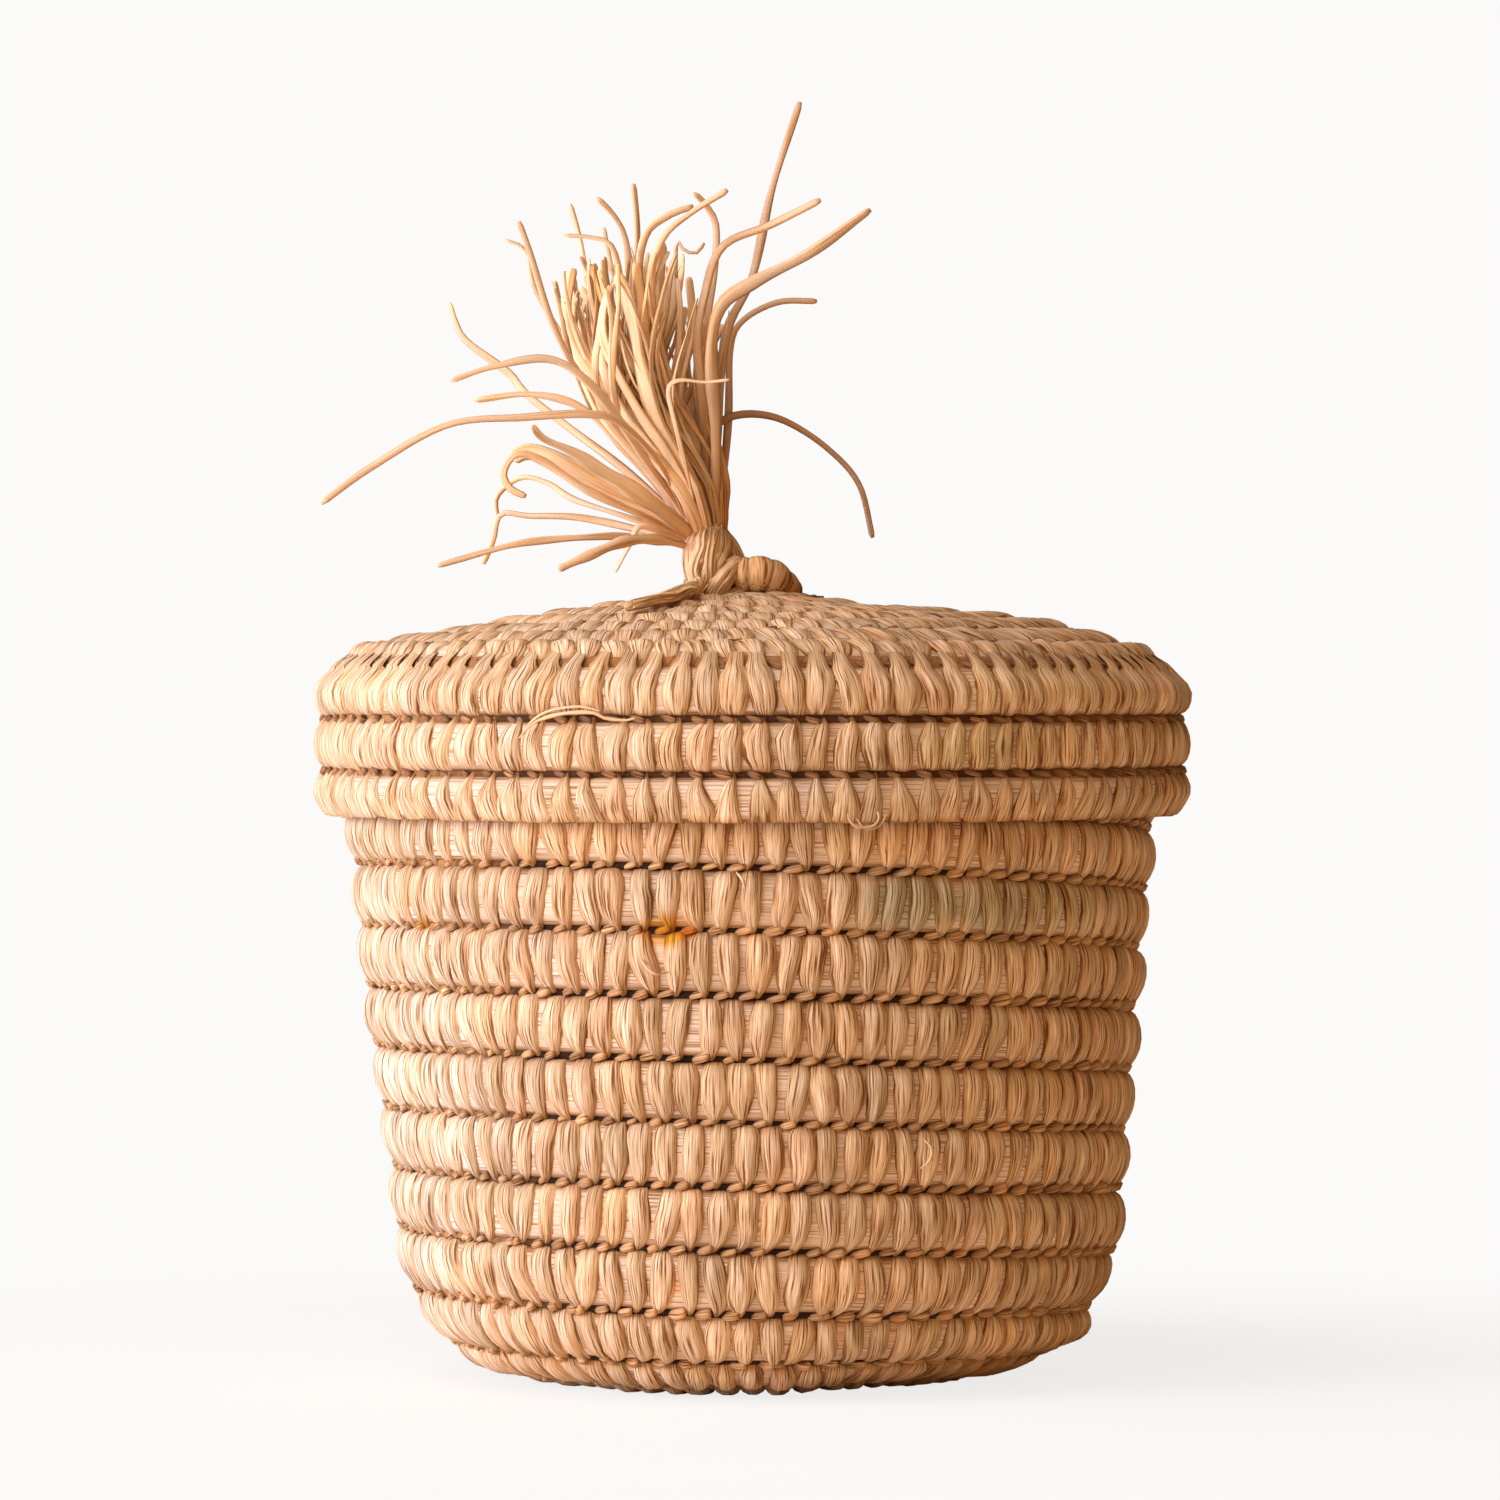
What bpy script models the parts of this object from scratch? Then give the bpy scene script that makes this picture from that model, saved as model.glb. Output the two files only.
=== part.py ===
"""A lidded coiled raffia basket with a knotted tassel on its lid.

Metres, +Z up. The basket stands on z = 0 with its axis on Z, and its front looks along -Y.
Vessel and lid are each one unbroken coil: an oval bundle that winds from the middle outwards, row on row,
along a meridian line of (radius, height). The lid slips over the upright collar of the vessel and rests on
its rim. A raffia stem rises out of the eye of the lid, is wrapped by the knot, and opens into the tassel.
"""

import math

import bmesh
import bpy
import numpy as np
from mathutils import Vector

MM = 0.001

# Vessel
VESSEL_HEIGHT = 172.5 * MM  # ground to the level rim
FOOT_RADIUS = 89.2 * MM  # outer radius of the tapered wall, drawn down to the ground
COLLAR_RADIUS = 101.8 * MM  # outer radius of the upright collar under the lid
WALL_TAPER = math.radians(5)  # the wall leans out from the upright
BASE_ROUND = 40 * MM  # outer rounding between base and wall
COLLAR_ROUND = 60 * MM  # rounding between tapered wall and collar
VESSEL_ROW = 15 * MM  # one row of the coil, along the meridian
VESSEL_BUNDLE = 7.4 * MM  # thickness of the bundle, through the wall
VESSEL_EYE = 1.5 * MM  # radius of the hole in the middle of the base, round which the coil starts
BASE_FLAT = 0.5 * MM  # how deep the coil is worn flat where it stands
VESSEL_START_ANGLE = math.radians(225)  # azimuth where the coil starts, seen from above

# Lid
LID_OVERLAP = 34.5 * MM  # how far the lid reaches down past the vessel's rim
LID_FIT = 0.7 * MM  # radial play between lid and collar
LID_SEAT_GAP = 0.4 * MM  # between the lid's underside and the rim
LID_SLOPE = math.radians(10)  # of the cone, below the level
LID_BUNDLE = 7 * MM
LID_EYE = 4.2 * MM  # radius of the hole that the stem rises through
LID_CONE_ROWS = 8  # rows of full height that the cone would hold, from eye to shoulder
LID_WALL_ROWS = 3
LID_STEP_SHARE = 0.25  # share of a turn, at the back, in which a row climbs to the next
LID_START_ANGLE = math.radians(90)  # a whole number of coil points from the vessel's, so their sides line up

# Both coils
ROW_GAP = 0.5 * MM  # between neighbouring rows
TAIL_SHARE = 0.3  # height of the coil's last end, as a share of a row
SECTION_END_SHARE = 0.42  # thickness of the bundle at its edges, as a share of its middle
LAP_SHARE = 1  # how far a row covers the end of the one before it where the meridian bends
LOOP_POINTS = 24
START_ROWS = 2  # turns in which the bundle swells from its thin start to full height

# Knot and collar on the lid
FIT_GAP = 0.3 * MM  # between pieces that touch
STEM_RADIUS = 2 * MM
STEM_RISE = 14.5 * MM  # from the cone's tip to the top of the knot
STEM_LEAN = math.radians(38)  # at the top of the knot, where the tassel takes over
STEM_BEND = 1.4  # power by which the stem comes over to its lean
STEM_TURN = math.radians(212)  # azimuth that the stem leans to: left and a little forwards
STEM_POINTS = 9
KNOT_TUBE = 4 * MM  # diameter of the strand that wraps the stem
KNOT_TURNS = 2.25
KNOT_ROW = 4.5 * MM  # rise of the knot in one turn
COLLAR_TUBE = 6 * MM  # diameter of the raised first coil beside the knot
COLLAR_COIL_RADIUS = 10 * MM
COLLAR_TAIL_RADIUS = 25 * MM  # where its tail lies down on the cone
COLLAR_TAIL_SHARE = 0.55  # thickness of that tail, as a share of the tube
COLLAR_FROM = math.radians(-50)
COLLAR_RING_TO = math.radians(100)
COLLAR_TO = math.radians(186)

# Tassel
TASSEL_LENGTH = 80 * MM  # of the main tuft, along its axis
TUFT_ROOT_RADIUS = 3.4 * MM
TUFT_RADIUS = 24.5 * MM  # at its open end
TUFT_SLICE = 2 * MM  # bound root that all strands of the tuft grow from
TUFT_CELLS = 8  # strands across the root, each way
TUFT_RINGS = 4
ROOT_CROWDING = 1.5  # power that draws a strand's points towards its root, where it bends most
TUFT_LENGTH_SHARES = (0.74, 1.0)  # shortest and longest strand
STRAND_WIDTH = 2.4 * MM
STRAND_THICKNESS = 1 * MM
CELL_FILL_SHARE = 0.36  # half a strand's width at the root, as a share of its cell
SPREAD_POWER = 2.2  # how fast the tuft opens out of the knot
AXIS_BEYOND = 1.2  # share of the tuft's length that its middle line is worked out for
STRAND_TURN = 0.6  # most that a strand is turned flat side out of line, in radians
TUFT_SEED = 7

# Long strands stand in a ring round the tuft's root. Their azimuths go round with the ring.
RING_OFFSET = 2.8 * MM  # of the ring outside the tuft
RING_OFFSET_SHARE = 0.06  # of the tuft's length, over which the ring moves out from the bound root
STRAY_RADIUS = 1.1 * MM
STRAY_ROOT_SHARE = 0.6  # radius at the root, as a share of STRAY_RADIUS
STRAY_TIP_SHARE = 0.35
STRAY_POINTS = 12
STRAY_CLIMB_POINTS = 3  # fewest where it climbs along the tuft
STRAY_FULL_SHARES = (0, 0.25, 0.8, 1)  # of its length, between which it is full round
# name, ring place in sixteenths of a turn, share of the tuft's length where it leaves, lean when it leaves
# and at its tip in degrees from the upright, length after leaving as a share of TASSEL_LENGTH, bend power
STRAY_SHARES = (
    ("strand_drooping_right", 0, 0.30, 48, 178, 0.66, 0.75),
    ("strand_tall_upright", 1, 0.52, 24, 10, 0.90, 1.0),
    ("strand_upper_right", 2, 0.66, 34, 66, 0.50, 0.8),
    ("strand_fork_top", 3, 0.84, 12, 48, 0.25, 1.0),
    ("strand_back", 4, 0.62, 30, 62, 0.36, 1.0),
    ("strand_back_left", 5, 0.50, 40, 76, 0.36, 1.0),
    ("strand_upper_left", 6, 0.60, 50, 16, 0.36, 1.2),
    ("strand_level_left", 7, 0.46, 66, 104, 0.40, 1.0),
    ("strand_long_left", 8, 0.30, 70, 128, 0.92, 1.6),
    ("strand_low_left", 9, 0.04, 66, 106, 0.88, 0.7),
    ("strand_rising_left", 10, 0.42, 74, 34, 0.46, 1.6),
    ("strand_low_front", 11, 0.06, 62, 112, 0.55, 0.9),
    ("strand_front_left", 12, 0.55, 38, 78, 0.36, 1.0),
    ("strand_front_right", 13, 0.45, 40, 84, 0.36, 1.0),
    ("strand_side_right", 14, 0.58, 52, 96, 0.36, 1.0),
    ("strand_thick_right", 15, 0.62, 50, 60, 0.62, 1.0),
)
RING_PLACES = 16
STRAY_SWELL = {"strand_thick_right": 1.35, "strand_low_front": 1.2}  # thicker than the rest

ARC_STEPS = 12
FINE_STEPS = 60  # in lines that are worked out step by step
OVERRUN = 5 * MM  # of a cutter past what it cuts

# Everything below is worked out from the sizes above.
UP = np.array([0.0, 0.0, 1.0])
VESSEL_HALF = VESSEL_BUNDLE / 2
LID_HALF = LID_BUNDLE / 2
LID_WALL_RADIUS = COLLAR_RADIUS + LID_FIT + LID_HALF
LID_SHOULDER = VESSEL_HEIGHT + LID_SEAT_GAP + LID_HALF / math.cos(LID_SLOPE)
LID_RIM_HEIGHT = VESSEL_HEIGHT - LID_OVERLAP
LID_TIP = LID_SHOULDER + (LID_WALL_RADIUS - LID_BUNDLE) * math.tan(LID_SLOPE)
CONE_TOP = LID_TIP + LID_HALF / math.cos(LID_SLOPE)
KNOT_TOP = CONE_TOP + STEM_RISE


def unit(vector):
    return vector / np.linalg.norm(vector)


def rounded_line(corners, rounds):
    """Points along straight runs through corners, each inner corner rounded to its radius."""
    corners = [np.array(corner) for corner in corners]
    points = [corners[0]]
    for before, corner, after, radius in zip(corners, corners[1:], corners[2:], rounds):
        back, on = unit(before - corner), unit(after - corner)
        half = math.acos(float(np.clip(back @ on, -1, 1))) / 2
        middle = corner + unit(back + on) * radius / math.sin(half)
        reach = radius / math.tan(half)
        start, end = corner + back * reach - middle, corner + on * reach - middle
        angle = math.pi - 2 * half
        for step in range(ARC_STEPS + 1):
            share = step / ARC_STEPS
            mix = math.sin((1 - share) * angle) * start + math.sin(share * angle) * end
            points.append(middle + mix / math.sin(angle))
    points.append(corners[-1])
    return np.array(points)


def lengths_of(points):
    """How far along the line each point lies."""
    steps = np.linalg.norm(np.diff(points, axis=0), axis=1)
    return np.concatenate([[0.0], np.cumsum(steps)])


def at(line, lengths, where):
    return np.stack([np.interp(where, lengths, column) for column in line.T], axis=-1)


def vessel_meridian():
    """Middle of the bundle from the axis along the base, up the tapered wall and the collar."""
    base = VESSEL_HALF - BASE_FLAT
    inset = VESSEL_HALF / math.cos(WALL_TAPER)
    lean = math.tan(WALL_TAPER)
    collar = COLLAR_RADIUS - VESSEL_HALF
    collar_start = (collar - FOOT_RADIUS + inset) / lean
    corners = [
        (0.0, base),
        (FOOT_RADIUS - inset + base * lean, base),
        (collar, collar_start),
        (collar, VESSEL_HEIGHT),
    ]
    return rounded_line(corners, (BASE_ROUND - VESSEL_HALF, COLLAR_ROUND))


def lid_meridian():
    """Middle of the bundle from the axis down the cone to the shoulder, then down the wall to the rim."""
    tip = LID_SHOULDER + LID_WALL_RADIUS * math.tan(LID_SLOPE)
    return np.array([(0.0, tip), (LID_WALL_RADIUS, LID_SHOULDER), (LID_WALL_RADIUS, LID_RIM_HEIGHT)])


def smooth(share):
    share = np.clip(share, 0, 1)
    return share * share * (3 - 2 * share)


def swelling(rows):
    """Rows climbed, with a slow start: the first turns are thin, and each is fuller than the last."""
    rows = np.maximum(rows, 0)
    return np.where(rows < START_ROWS, rows * rows / (2 * START_ROWS), rows - START_ROWS / 2)


def even_climb(turns):
    return turns


def stepped_climb(turns):
    """Level for most of each turn, with the climb to the next row round the whole turns."""
    shifted = turns + LID_STEP_SHARE / 2
    whole = np.floor(shifted)
    return whole - 1 + smooth((shifted - whole) / LID_STEP_SHARE)


def coil_rows(line, marks, climb, first_turn):
    """Turns, and the bundle's inner edge, middle and outer edge on the meridian, at every point of the coil.

    marks holds pairs of rows counted from the eye and the length along the line that they end at.
    """
    rows, ends = np.array(marks).T
    total = ends[-1]
    row = (total - ends[-2]) / (rows[-1] - rows[-2])
    turns = first_turn + np.arange(int((rows[-1] + START_ROWS) * LOOP_POINTS)) / LOOP_POINTS
    beyond = np.append(rows, rows[-1] + START_ROWS)
    beyond_ends = np.append(ends, total + START_ROWS * row)
    inner = np.interp(swelling(climb(turns)), beyond, beyond_ends)
    outer = np.interp(swelling(climb(turns + 1)), beyond, beyond_ends) - ROW_GAP
    outer = np.minimum(outer, total)
    kept = inner <= total - TAIL_SHARE * row
    lengths = lengths_of(line)
    inner, outer = inner[kept], outer[kept]
    return turns[kept], *(at(line, lengths, where) for where in (inner, (inner + outer) / 2, outer))


def drawn_in(inner, outer, bundle):
    """The edges where the meridian bends: a row stops short of the bend, and the next one covers its end."""
    along = (outer - inner) / np.linalg.norm(outer - inner, axis=1)[:, None]
    bend = np.arccos(np.clip((along[LOOP_POINTS:] * along[:-LOOP_POINTS]).sum(axis=1), -1, 1))
    room = bundle / 2 * SECTION_END_SHARE * np.tan(bend / 2)
    still = np.zeros(LOOP_POINTS)
    over = LAP_SHARE * np.concatenate([still, room])[:, None]
    short = (2 + LAP_SHARE) * np.concatenate([room, still])[:, None]
    return inner - over * along, outer - short * along


def coil_sections(inner, middle, outer, row, bundle):
    """Centre, direction and size of each section, and its six corners in the meridian plane."""
    lift = middle - (inner + outer) / 2
    inner, outer = drawn_in(inner, outer, bundle)
    centre = (inner + outer) / 2 + lift
    chord = outer - inner
    width = np.linalg.norm(chord, axis=1)
    along = chord / width[:, None]
    across = np.stack([along[:, 1], -along[:, 0]], axis=1)
    scale = width / (row - ROW_GAP)
    half = (bundle / 2 * scale)[:, None]
    corners = [
        centre + side * half * across * share + end * chord / 2
        for side, end, share in (
            (1, 0, 1),
            (1, 1, SECTION_END_SHARE),
            (-1, 1, SECTION_END_SHARE),
            (-1, 0, 1),
            (-1, -1, SECTION_END_SHARE),
            (1, -1, SECTION_END_SHARE),
        )
    ]
    return centre, along, scale, np.stack(corners, axis=1)


def least_gap(corners):
    """Least distance between a section and the one a turn on, both in the same meridian plane."""
    least = math.inf
    for a, b in zip(corners, corners[LOOP_POINTS:]):
        for points, ring in ((a, b), (b, a)):
            start, end = ring, np.roll(ring, -1, axis=0)
            edge = end - start
            share = ((points[:, None] - start) * edge).sum(-1) / (edge * edge).sum(-1)
            near = start + np.clip(share, 0, 1)[..., None] * edge
            least = min(least, float(np.linalg.norm(points[:, None] - near, axis=-1).min()))
    return least


def material(name, colour, roughness):
    made = bpy.data.materials.new(name)
    made.use_nodes = True
    shader = made.node_tree.nodes["Principled BSDF"]
    shader.inputs["Base Color"].default_value = (*colour, 1)
    shader.inputs["Roughness"].default_value = roughness
    shader.inputs["Metallic"].default_value = 0
    return made


def collection(name):
    made = bpy.data.collections.new(name)
    bpy.context.scene.collection.children.link(made)
    return made


def parent_at(name, where, group):
    """An empty that carries one body, placed on its joint's axis."""
    empty = bpy.data.objects.new(name, None)
    empty.location = where
    group.objects.link(empty)
    return empty


def hang(obj, parent):
    obj.parent = parent
    obj.matrix_parent_inverse = parent.matrix_basis.inverted()


def poly_curve(name, points, radii, tilts, cyclic=False):
    curve = bpy.data.curves.new(name, "CURVE")
    curve.dimensions = "3D"
    curve.twist_mode = "Z_UP"
    spline = curve.splines.new("POLY")
    spline.points.add(len(points) - 1)
    spline.use_cyclic_u = cyclic
    for target, point, radius, tilt in zip(spline.points, points, radii, tilts):
        target.co = (*point, 1)
        target.radius = radius
        target.tilt = tilt
    return curve


def tube(name, points, radius, shares, finish, group, parent, fineness=1):
    """A round tube along points. shares scale its radius at each point."""
    curve = poly_curve(name, points, shares, np.zeros(len(points)))
    curve.bevel_depth = radius
    curve.bevel_resolution = fineness
    curve.use_fill_caps = True
    curve.materials.append(finish)
    obj = bpy.data.objects.new(name, curve)
    group.objects.link(obj)
    hang(obj, parent)
    return obj


def section_guide(name, row, bundle, group):
    """The bundle's six-sided section as a closed outline, for a curve's bevel."""
    half_row, half = (row - ROW_GAP) / 2, bundle / 2
    end = half * SECTION_END_SHARE
    outline = [(half, 0), (end, half_row), (-end, half_row)]
    outline += [(-x, -y) for x, y in outline]
    points = [(x, y, 0) for x, y in outline]
    curve = poly_curve(name, points, np.ones(len(points)), np.zeros(len(points)), cyclic=True)
    guide = bpy.data.objects.new(name, curve)
    group.objects.link(guide)
    guide.hide_render = True
    guide.display_type = "WIRE"
    return guide


def as_mesh(obj):
    """The curve object as a mesh object of the same name, its caps welded on."""
    graph = bpy.context.evaluated_depsgraph_get()
    mesh = bpy.data.meshes.new_from_object(obj.evaluated_get(graph))
    work = bmesh.new()
    work.from_mesh(mesh)
    bmesh.ops.remove_doubles(work, verts=work.verts, dist=ROW_GAP / LOOP_POINTS)
    bmesh.ops.recalc_face_normals(work, faces=work.faces)
    work.to_mesh(mesh)
    work.free()
    name, matrix, parent, groups = obj.name, obj.matrix_world.copy(), obj.parent, obj.users_collection
    bpy.data.objects.remove(obj)
    made = bpy.data.objects.new(name, mesh)
    groups[0].objects.link(made)
    made.matrix_world = matrix
    hang(made, parent)
    return made


def coil(name, line, marks, bundle, climb, first_turn, direction, start_angle, finish, homes):
    """One unbroken oval bundle wound along the meridian line. Prints its least gap to itself."""
    group, parent, guides = homes
    turns, inner, middle, outer = coil_rows(line, marks, climb, first_turn)
    row = (marks[1][1] - marks[0][1]) / marks[1][0]
    centre, along, scale, corners = coil_sections(inner, middle, outer, row, bundle)
    angles = start_angle + direction * 2 * math.pi * turns
    points = np.stack([centre[:, 0] * np.cos(angles), centre[:, 0] * np.sin(angles), centre[:, 1]], axis=1)
    leans = np.arctan2(along[:, 0], along[:, 1])
    curve = poly_curve(name, points, scale, -direction * leans)
    curve.bevel_mode = "OBJECT"
    curve.bevel_object = section_guide(name + "_section", row, bundle, guides)
    curve.use_fill_caps = True
    curve.materials.append(finish)
    obj = bpy.data.objects.new(name, curve)
    group.objects.link(obj)
    hang(obj, parent)
    loops = (len(turns) - 1) / LOOP_POINTS
    print(f"{name}: {loops:.1f} loops, least gap to itself {least_gap(corners) / MM:.2f} mm")
    return as_mesh(obj)


def cut_flat_below(obj, height, reach, cutters):
    """Takes away what lies under the given height."""
    depth = BASE_FLAT + OVERRUN
    bpy.ops.mesh.primitive_cube_add(size=1)
    block = bpy.context.object
    block.name = obj.name + "_ground"
    block.scale = (2 * reach, 2 * reach, depth)
    block.location = (0, 0, height - depth / 2)
    for group in block.users_collection:
        group.objects.unlink(block)
    cutters.objects.link(block)
    block.hide_render = True
    block.display_type = "WIRE"
    cut = obj.modifiers.new("flat_foot", "BOOLEAN")
    cut.operation = "DIFFERENCE"
    cut.solver = "EXACT"
    cut.object = block


def stem_point(height):
    """A point on the stem's axis, which rises out of the eye and bends over to its lean."""
    start = CONE_TOP - LID_BUNDLE
    share = np.clip((height - start) / (KNOT_TOP - start), 0, None)
    reach = math.tan(STEM_LEAN) * (KNOT_TOP - start) * share**STEM_BEND / STEM_BEND
    return np.stack([reach * math.cos(STEM_TURN), reach * math.sin(STEM_TURN), height], axis=-1)


def make_stem(finish, group, parent):
    heights = np.linspace(CONE_TOP - LID_BUNDLE, KNOT_TOP - STEM_RADIUS * math.sin(STEM_LEAN), STEM_POINTS)
    tube("tassel_stem", stem_point(heights), STEM_RADIUS, np.ones(STEM_POINTS), finish, group, parent)


def make_knot(finish, group, parent):
    """A thick twisted strand, wound round the stem, its loops level and each a little further over."""
    count = int(KNOT_TURNS * LOOP_POINTS)
    turns = np.linspace(0, KNOT_TURNS, count + 1)
    top = KNOT_TOP - KNOT_TUBE / 2
    heights = top - KNOT_ROW * (KNOT_TURNS - turns)
    radius = STEM_RADIUS / math.cos(STEM_LEAN) + FIT_GAP + KNOT_TUBE / 2
    angles = STEM_TURN + math.pi + 2 * math.pi * turns
    middle = stem_point(heights)
    ring = np.stack([np.cos(angles), np.sin(angles), np.zeros(count + 1)], axis=1)
    points = middle + radius * ring
    apart = points[LOOP_POINTS:] - points[:-LOOP_POINTS]
    gap = np.linalg.norm(apart, axis=1).min() - KNOT_TUBE
    print(f"knot_wrap: {KNOT_TURNS} loops, least gap to itself {gap / MM:.2f} mm")
    tube("knot_wrap", points, KNOT_TUBE / 2, np.ones(count + 1), finish, group, parent)


def make_collar_coil(finish, group, parent):
    """The raised first coil: a ring round the stem's foot whose tail runs out and lies down on the cone."""
    count = LOOP_POINTS
    angles = np.linspace(COLLAR_FROM, COLLAR_TO, count)
    down = smooth((angles - COLLAR_RING_TO) / (COLLAR_TO - COLLAR_RING_TO))
    radius = COLLAR_COIL_RADIUS + (COLLAR_TAIL_RADIUS - COLLAR_COIL_RADIUS) * down
    shares = 1 - (1 - COLLAR_TAIL_SHARE) * down
    drop = (radius - LID_BUNDLE) * math.tan(LID_SLOPE)
    lift = COLLAR_TUBE / 2 * shares / math.cos(LID_SLOPE) + FIT_GAP
    points = np.stack([radius * np.cos(angles), radius * np.sin(angles), CONE_TOP - drop + lift], axis=1)
    tube("collar_coil", points, COLLAR_TUBE / 2, shares, finish, group, parent)


def tuft_axis(share):
    """Middle of the tassel at a share of its length, which starts on the stem and bends upright."""
    fine = np.linspace(0, AXIS_BEYOND, 2 * FINE_STEPS + 1)
    lean = STEM_LEAN * np.clip(1 - fine, 0, None) ** 2
    step = (fine[1] - fine[0]) * TASSEL_LENGTH
    over = np.concatenate([[0], np.cumsum(np.sin(lean[:-1]))]) * step
    rise = np.concatenate([[0], np.cumsum(np.cos(lean[:-1]))]) * step
    root = stem_point(np.array(KNOT_TOP)) + FIT_GAP * UP
    across = np.interp(share, fine, over)
    height = np.interp(share, fine, rise)
    return np.stack([root[0] - across, root[1] + 0 * across, root[2] + height], axis=-1)


def tuft_radius(share):
    open_share = 1 - np.clip(1 - share, 0, 1) ** SPREAD_POWER
    return TUFT_ROOT_RADIUS + (TUFT_RADIUS - TUFT_ROOT_RADIUS) * open_share


def disc(u, v):
    """A square of -1 to 1 drawn in to a round disc."""
    return u * np.sqrt(1 - v * v / 2), v * np.sqrt(1 - u * u / 2)


def strand_frame(path):
    """Two directions square to the path at each point."""
    heading = np.gradient(path, axis=0)
    heading /= np.linalg.norm(heading, axis=1)[:, None]
    side = np.array([1.0, 0.0, 0.0]) - heading[:, :1] * heading
    side /= np.linalg.norm(side, axis=1)[:, None]
    return side, np.cross(heading, side)


def tuft_paths(rng):
    """Root place, path, and half widths of each strand of the tuft, by its cell in the root."""
    centres = (np.arange(TUFT_CELLS) + 0.5) / TUFT_CELLS * 2 - 1
    low, high = TUFT_LENGTH_SHARES
    paths = {}
    for i, u in enumerate(centres):
        for j, v in enumerate(centres):
            x, y = disc(u, v)
            length = rng.uniform(low, high)
            root = TUFT_SLICE / TASSEL_LENGTH
            shares = root + (length - root) * np.linspace(0, 1, TUFT_RINGS + 1) ** ROOT_CROWDING
            radius = tuft_radius(shares)
            place = np.stack([radius * x, radius * y, 0 * radius], axis=1)
            cell = radius / TUFT_CELLS * 2
            width = np.minimum(STRAND_WIDTH / 2, CELL_FILL_SHARE * cell)
            depth = np.minimum(STRAND_THICKNESS / 2, CELL_FILL_SHARE * cell)
            width[-1] *= STRAY_TIP_SHARE
            turn = rng.uniform(-STRAND_TURN, STRAND_TURN)
            paths[i, j] = (tuft_axis(shares) + place, width, depth, turn)
    return paths


def strand_corners(path, width, depth, turn):
    """Four corners of the strand's section at each point of its path."""
    side, front = strand_frame(path)
    wide = math.cos(turn) * side + math.sin(turn) * front
    thin = -math.sin(turn) * side + math.cos(turn) * front
    across, through = width[:, None] * wide, depth[:, None] * thin
    corners = [path + a * across + b * through for a, b in ((-1, -1), (1, -1), (1, 1), (-1, 1))]
    return np.stack(corners, axis=1)


def make_tuft(finish, group, parent):
    """A bound root slice whose every cell is drawn out into one flat strand, all of them apart."""
    rng = np.random.default_rng(TUFT_SEED)
    sections = {cell: strand_corners(*strand) for cell, strand in tuft_paths(rng).items()}
    work = bmesh.new()
    index = work.faces.layers.int.new("cell")
    bmesh.ops.create_grid(work, x_segments=TUFT_CELLS, y_segments=TUFT_CELLS, size=1)
    sheet = list(work.faces)
    for face in sheet:
        i, j = (int((place + 1) / 2 * TUFT_CELLS) for place in face.calc_center_median()[:2])
        face[index] = i * TUFT_CELLS + j
    root = tuft_axis(np.array(0.0))
    for vert in work.verts:
        x, y = disc(vert.co.x, vert.co.y)
        vert.co = Vector(root) + Vector((x, y, 0)) * TUFT_ROOT_RADIUS
    raised = bmesh.ops.extrude_face_region(work, geom=sheet)["geom"]
    lift = Vector(tuft_axis(np.array(TUFT_SLICE / TASSEL_LENGTH)) - root)
    bmesh.ops.translate(work, vec=lift, verts=[v for v in raised if isinstance(v, bmesh.types.BMVert)])
    tops = [f for f in raised if isinstance(f, bmesh.types.BMFace)]
    margin = TUFT_ROOT_RADIUS / TUFT_CELLS * (1 - 2 * CELL_FILL_SHARE)
    bmesh.ops.inset_individual(work, faces=tops, thickness=margin)
    for ring in range(1, TUFT_RINGS + 1):
        tops = bmesh.ops.extrude_discrete_faces(work, faces=tops)["faces"]
        for face in tops:
            corners = sections[divmod(face[index], TUFT_CELLS)][ring]
            middle = face.calc_center_median()
            rays = {vert: vert.co - middle for vert in face.verts}
            order = sorted(face.verts, key=lambda vert: math.atan2(rays[vert].y, rays[vert].x))
            for vert, corner in zip(order, corners):
                vert.co = corner
    bmesh.ops.recalc_face_normals(work, faces=work.faces)
    mesh = bpy.data.meshes.new("tassel_tuft")
    work.to_mesh(mesh)
    work.free()
    mesh.materials.append(finish)
    obj = bpy.data.objects.new("tassel_tuft", mesh)
    group.objects.link(obj)
    hang(obj, parent)
    rings = np.stack([section for section in sections.values()])
    middles = rings.mean(axis=2)
    apart = np.linalg.norm(middles[:, None] - middles[None], axis=-1)
    apart[np.arange(len(apart)), np.arange(len(apart))] = math.inf
    print(f"tassel_tuft: {len(rings)} strands, nearest middles {apart[:, :, 1:].min() / MM:.2f} mm apart")


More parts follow.
